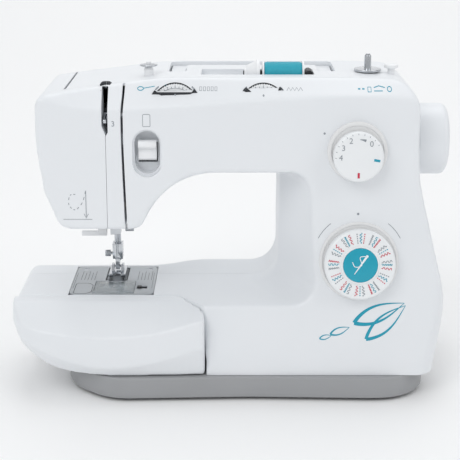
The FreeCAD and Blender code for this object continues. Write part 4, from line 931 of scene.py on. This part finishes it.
def dot(x, z, radius):
    """A flat inked disc."""
    bpy.ops.mesh.primitive_circle_add(vertices=24, radius=radius * MM, fill_type="NGON",
                                      location=(x * MM, INK_FROM_Y, z * MM), rotation=(math.pi / 2, 0, 0))
    bpy.ops.object.transform_apply()
    return added("dot")


def numeral(text, x, z, height):
    """An inked number, as a mesh."""
    bpy.ops.object.text_add()
    letters = bpy.context.object
    letters.data.body = text
    letters.data.size = height * 1.4 * MM
    letters.data.align_x, letters.data.align_y = "CENTER", "CENTER"
    bpy.ops.object.convert(target="MESH")
    piece = added("numeral")
    piece.data.transform(Matrix.Translation((x * MM, INK_FROM_Y, z * MM)) @ Matrix.Rotation(math.pi / 2, 4, "X"))
    return piece


def printed(name, ink, target, body, slot, *marks):
    """Lays flat marks onto a surface straight from the front, with the thickness of ink."""
    piece = joined(name, *marks)
    apply(piece, "SHRINKWRAP", wrap_method="PROJECT", use_project_y=True, use_positive_direction=True,
          use_negative_direction=False, target=target, offset=0.10 * MM)
    apply(piece, "SOLIDIFY", thickness=0.06 * MM, offset=0)
    return finish(piece, body, slot, ink)


def around(centre, radius, degrees):
    """A place at an angle clockwise from the top."""
    turn = math.radians(degrees)
    return centre[0] + radius * math.sin(turn), centre[1] + radius * math.cos(turn)


def arc_line(centre, radius, start, end, steps=24):
    """Points along an arc, clockwise from the top."""
    return [around(centre, radius, start + (end - start) * k / steps) for k in range(steps + 1)]


length_face = (104, 207.2)
pattern_face = (107.4, 117.9)
printed("length_dial_numbers", grey_ink, length_dial, "stitch_length_dial", "dial_white",
        *[numeral(text, *around(length_face, 14.6, turn), 4.6)
          for text, turn in (("4", -92), ("3", -60), ("2", -27), ("0", 43))],
        *[stroke([around(length_face, 18.0, turn), around(length_face, 19.2, turn)], 0.4)
          for turn in range(-92, 60, 15)],
        stroke(arc_line(length_face, 14.4, 2, 22, 8), (0.4, 2.2)))
printed("length_dial_teal_mark", teal_ink, length_dial, "stitch_length_dial", "dial_white",
        stroke([around(length_face, 12.4, 100), around(length_face, 17.4, 100)], 2.0))
printed("length_dial_red_mark", red_ink, length_dial, "stitch_length_dial", "dial_white",
        stroke([around(length_face, 12.6, 180), around(length_face, 17.0, 180)], 1.8))

# Three stitches at each of the twelve places, each dashed, zigzag, waved or stepped.
stitches = {grey_ink: [], teal_ink: [], red_ink: []}
for k in range(12):
    for j, ink in enumerate(stitches):
        turn, kind = 30 * k + (j - 1) * 7.4, (k + j * 2) % 4
        line = []
        for n in range(25):
            out = 17.6 + 8.6 * n / 24
            sway = {0: 0, 1: (n % 4 - 1.5) * 1.2, 2: math.sin(n * 0.9) * 2.4,
                    3: (2.4 if n % 8 < 4 else -0.8)}[kind]
            line.append(around(pattern_face, out, turn + sway))
        if kind == 0:
            stitches[ink] += [stroke(line[n:n + 4], 0.75) for n in range(0, 22, 5)]
        else:
            stitches[ink].append(stroke(line, 0.55))
for ink, name in ((grey_ink, "grey"), (teal_ink, "teal"), (red_ink, "red")):
    printed(f"pattern_dial_{name}_stitches", ink, pattern_dial, "pattern_dial", "dial_white", *stitches[ink])
white_ink = material("white_printing_ink", ("#F2F4F5", "#F7F8F9"), 3, (0.35, 0.45), 0.3, 0.001)
printed("pattern_cap_needle", white_ink, cap, "pattern_dial", "dial_white",
        stroke([(102.4, 110.5), (112.2, 124.6)], (0.5, 1.8)), dot(112.7, 125.3, 1.1),
        stroke(smooth_line([(112.7, 125.3), (107, 124.4), (108.4, 118), (103, 116.6), (100.6, 120.6)], 6),
               0.6))

# A scale of ticks round each thumbwheel's face.
for x, body in zip(THUMB_X, ("tension_dial", "stitch_width_dial")):
    ticks = [stroke([around((x, THUMB_Z), 17.2, turn),
                     around((x, THUMB_Z), 19.2 - (turn % 20) * 0.08, turn)],
                    0.45) for turn in range(-110, 111, 10)]
    printed(body + "_scale", grey_ink, bpy.data.objects[body + "_wheel"], body, "dial_white", *ticks,
            stroke(arc_line((x, THUMB_Z), 17.0, -112, 112, 60), 0.4))


def leaf(base, tip, bulge, width):
    """A leaf on the column, drawn with a line that thins towards its tip."""
    base, tip = Vector(base), Vector(tip)
    across = Vector((base.y - tip.y, tip.x - base.x)).normalized() * bulge
    sides = []
    for side in (1, -1):
        line = [base.lerp(tip, t / 20) + across * side * math.sin(math.pi * (t / 20) ** 0.85)
                for t in range(21)]
        sides.append(stroke(line, (width, 0.35)))
    return sides


printed("leaf_print", teal_ink, front_cover, "casing", "housing_white",
        *leaf((104, 66), (146, 82), 6.4, 3.2), *leaf((114, 53), (147, 80), 6.0, 2.8),
        *leaf((84, 57), (100, 62.5), 2.6, 1.5), *leaf((75, 53.5), (85, 56), 1.7, 1.1))

# Marks on the body: index dots, the thumbwheels' arcs and numbers, and small icons beside them.
grey_marks, teal_marks = [], []
for x in THUMB_X:
    wheel_top = (x, THUMB_Z)
    grey_marks += [dot(x, 253.6, 0.75)]
    grey_marks += [stroke(arc_line(wheel_top, 22.4, turn, turn + 9, 4), 1.1) for turn in (-46, 37)]
for k in range(5):
    a = THUMB_X[0] + 20 + 3.1 * k
    grey_marks.append(stroke([(a, 256.6), (a, 259.4), (a + 1.7, 259.4), (a + 1.7, 256.6), (a, 256.6)], 0.35))
grey_marks.append(stroke([(THUMB_X[1] + 19 + 1.6 * k, 257 + 2.2 * (k % 2)) for k in range(9)], 0.4))
grey_marks += [dot(*around((104, 209), 30.5, -62), 0.9), dot(*around((107.4, 118.5), 38, -2), 1.0)]
grey_marks += [numeral("3", -95.2, 231, 4.4), stroke(arc_line((107.4, 118), 38.6, 38, 62), 0.5),
               stroke(arc_line((107.4, 118), 38.6, -62, -38), 0.5)]
outline_box = rounded([(-71, 239.0, 1.2), (-65, 239.0, 1.2), (-65, 229.0, 0.6), (-71, 229.0, 0.6)], 4)
grey_marks.append(stroke([tuple(p) for p in outline_box] + [tuple(outline_box[0])], 0.4))
printed("body_marks_grey", grey_ink, front_cover, "casing", "housing_white", *grey_marks)

# The bobbin thread's way, in teal, beside the winding guide and beside the spindle.
loop = arc_line((-73, 258.0), 2.4, -200, 160, 24)
path = [(a, 258.0 + (b - 258.0) * 0.55) for a, b in loop]
teal_marks += [stroke(path, 0.6), stroke([(-70.4, 258.2), (-62, 259.6), (-52, 260.2)], 0.5)]
teal_marks += [stroke([(104 + 3.4 * k, 258.4), (105.9 + 3.4 * k, 258.4)], 0.9) for k in range(2)]
teal_marks += [stroke([(112, 256.4), (114.6, 256.4), (114.6, 259.6), (112, 259.6), (112, 256.4)], 0.5),
               stroke([(117, 257), (124, 257)], 0.6),
               stroke([(117, 259.2), (121, 260.4), (126, 259.2)], 0.6),
               stroke(arc_line((129.6, 258.2), 1.7, 0, 360, 16), 0.6)]
printed("body_marks_teal", teal_ink, front_cover, "casing", "housing_white", *teal_marks)

# A threading picture on the face cover: a dashed path with an arrow, and the needle below.
path = smooth_line([(-119, 176), (-122, 166), (-128, 160), (-133, 164), (-132, 172), (-126, 173)], 8)
face_marks = [stroke(path[k:k + 3], 0.55) for k in range(0, len(path) - 2, 4)]
face_marks += [stroke([(-119, 176), (-119, 154)], 0.5),
               stroke([(-120.8, 156.6), (-119, 153), (-117.2, 156.6)], 0.5),
               stroke([(-138, 152), (-114, 152)], 0.4)]
printed("threading_picture", grey_ink, face_cover, "face_cover", "housing_white", *face_marks)
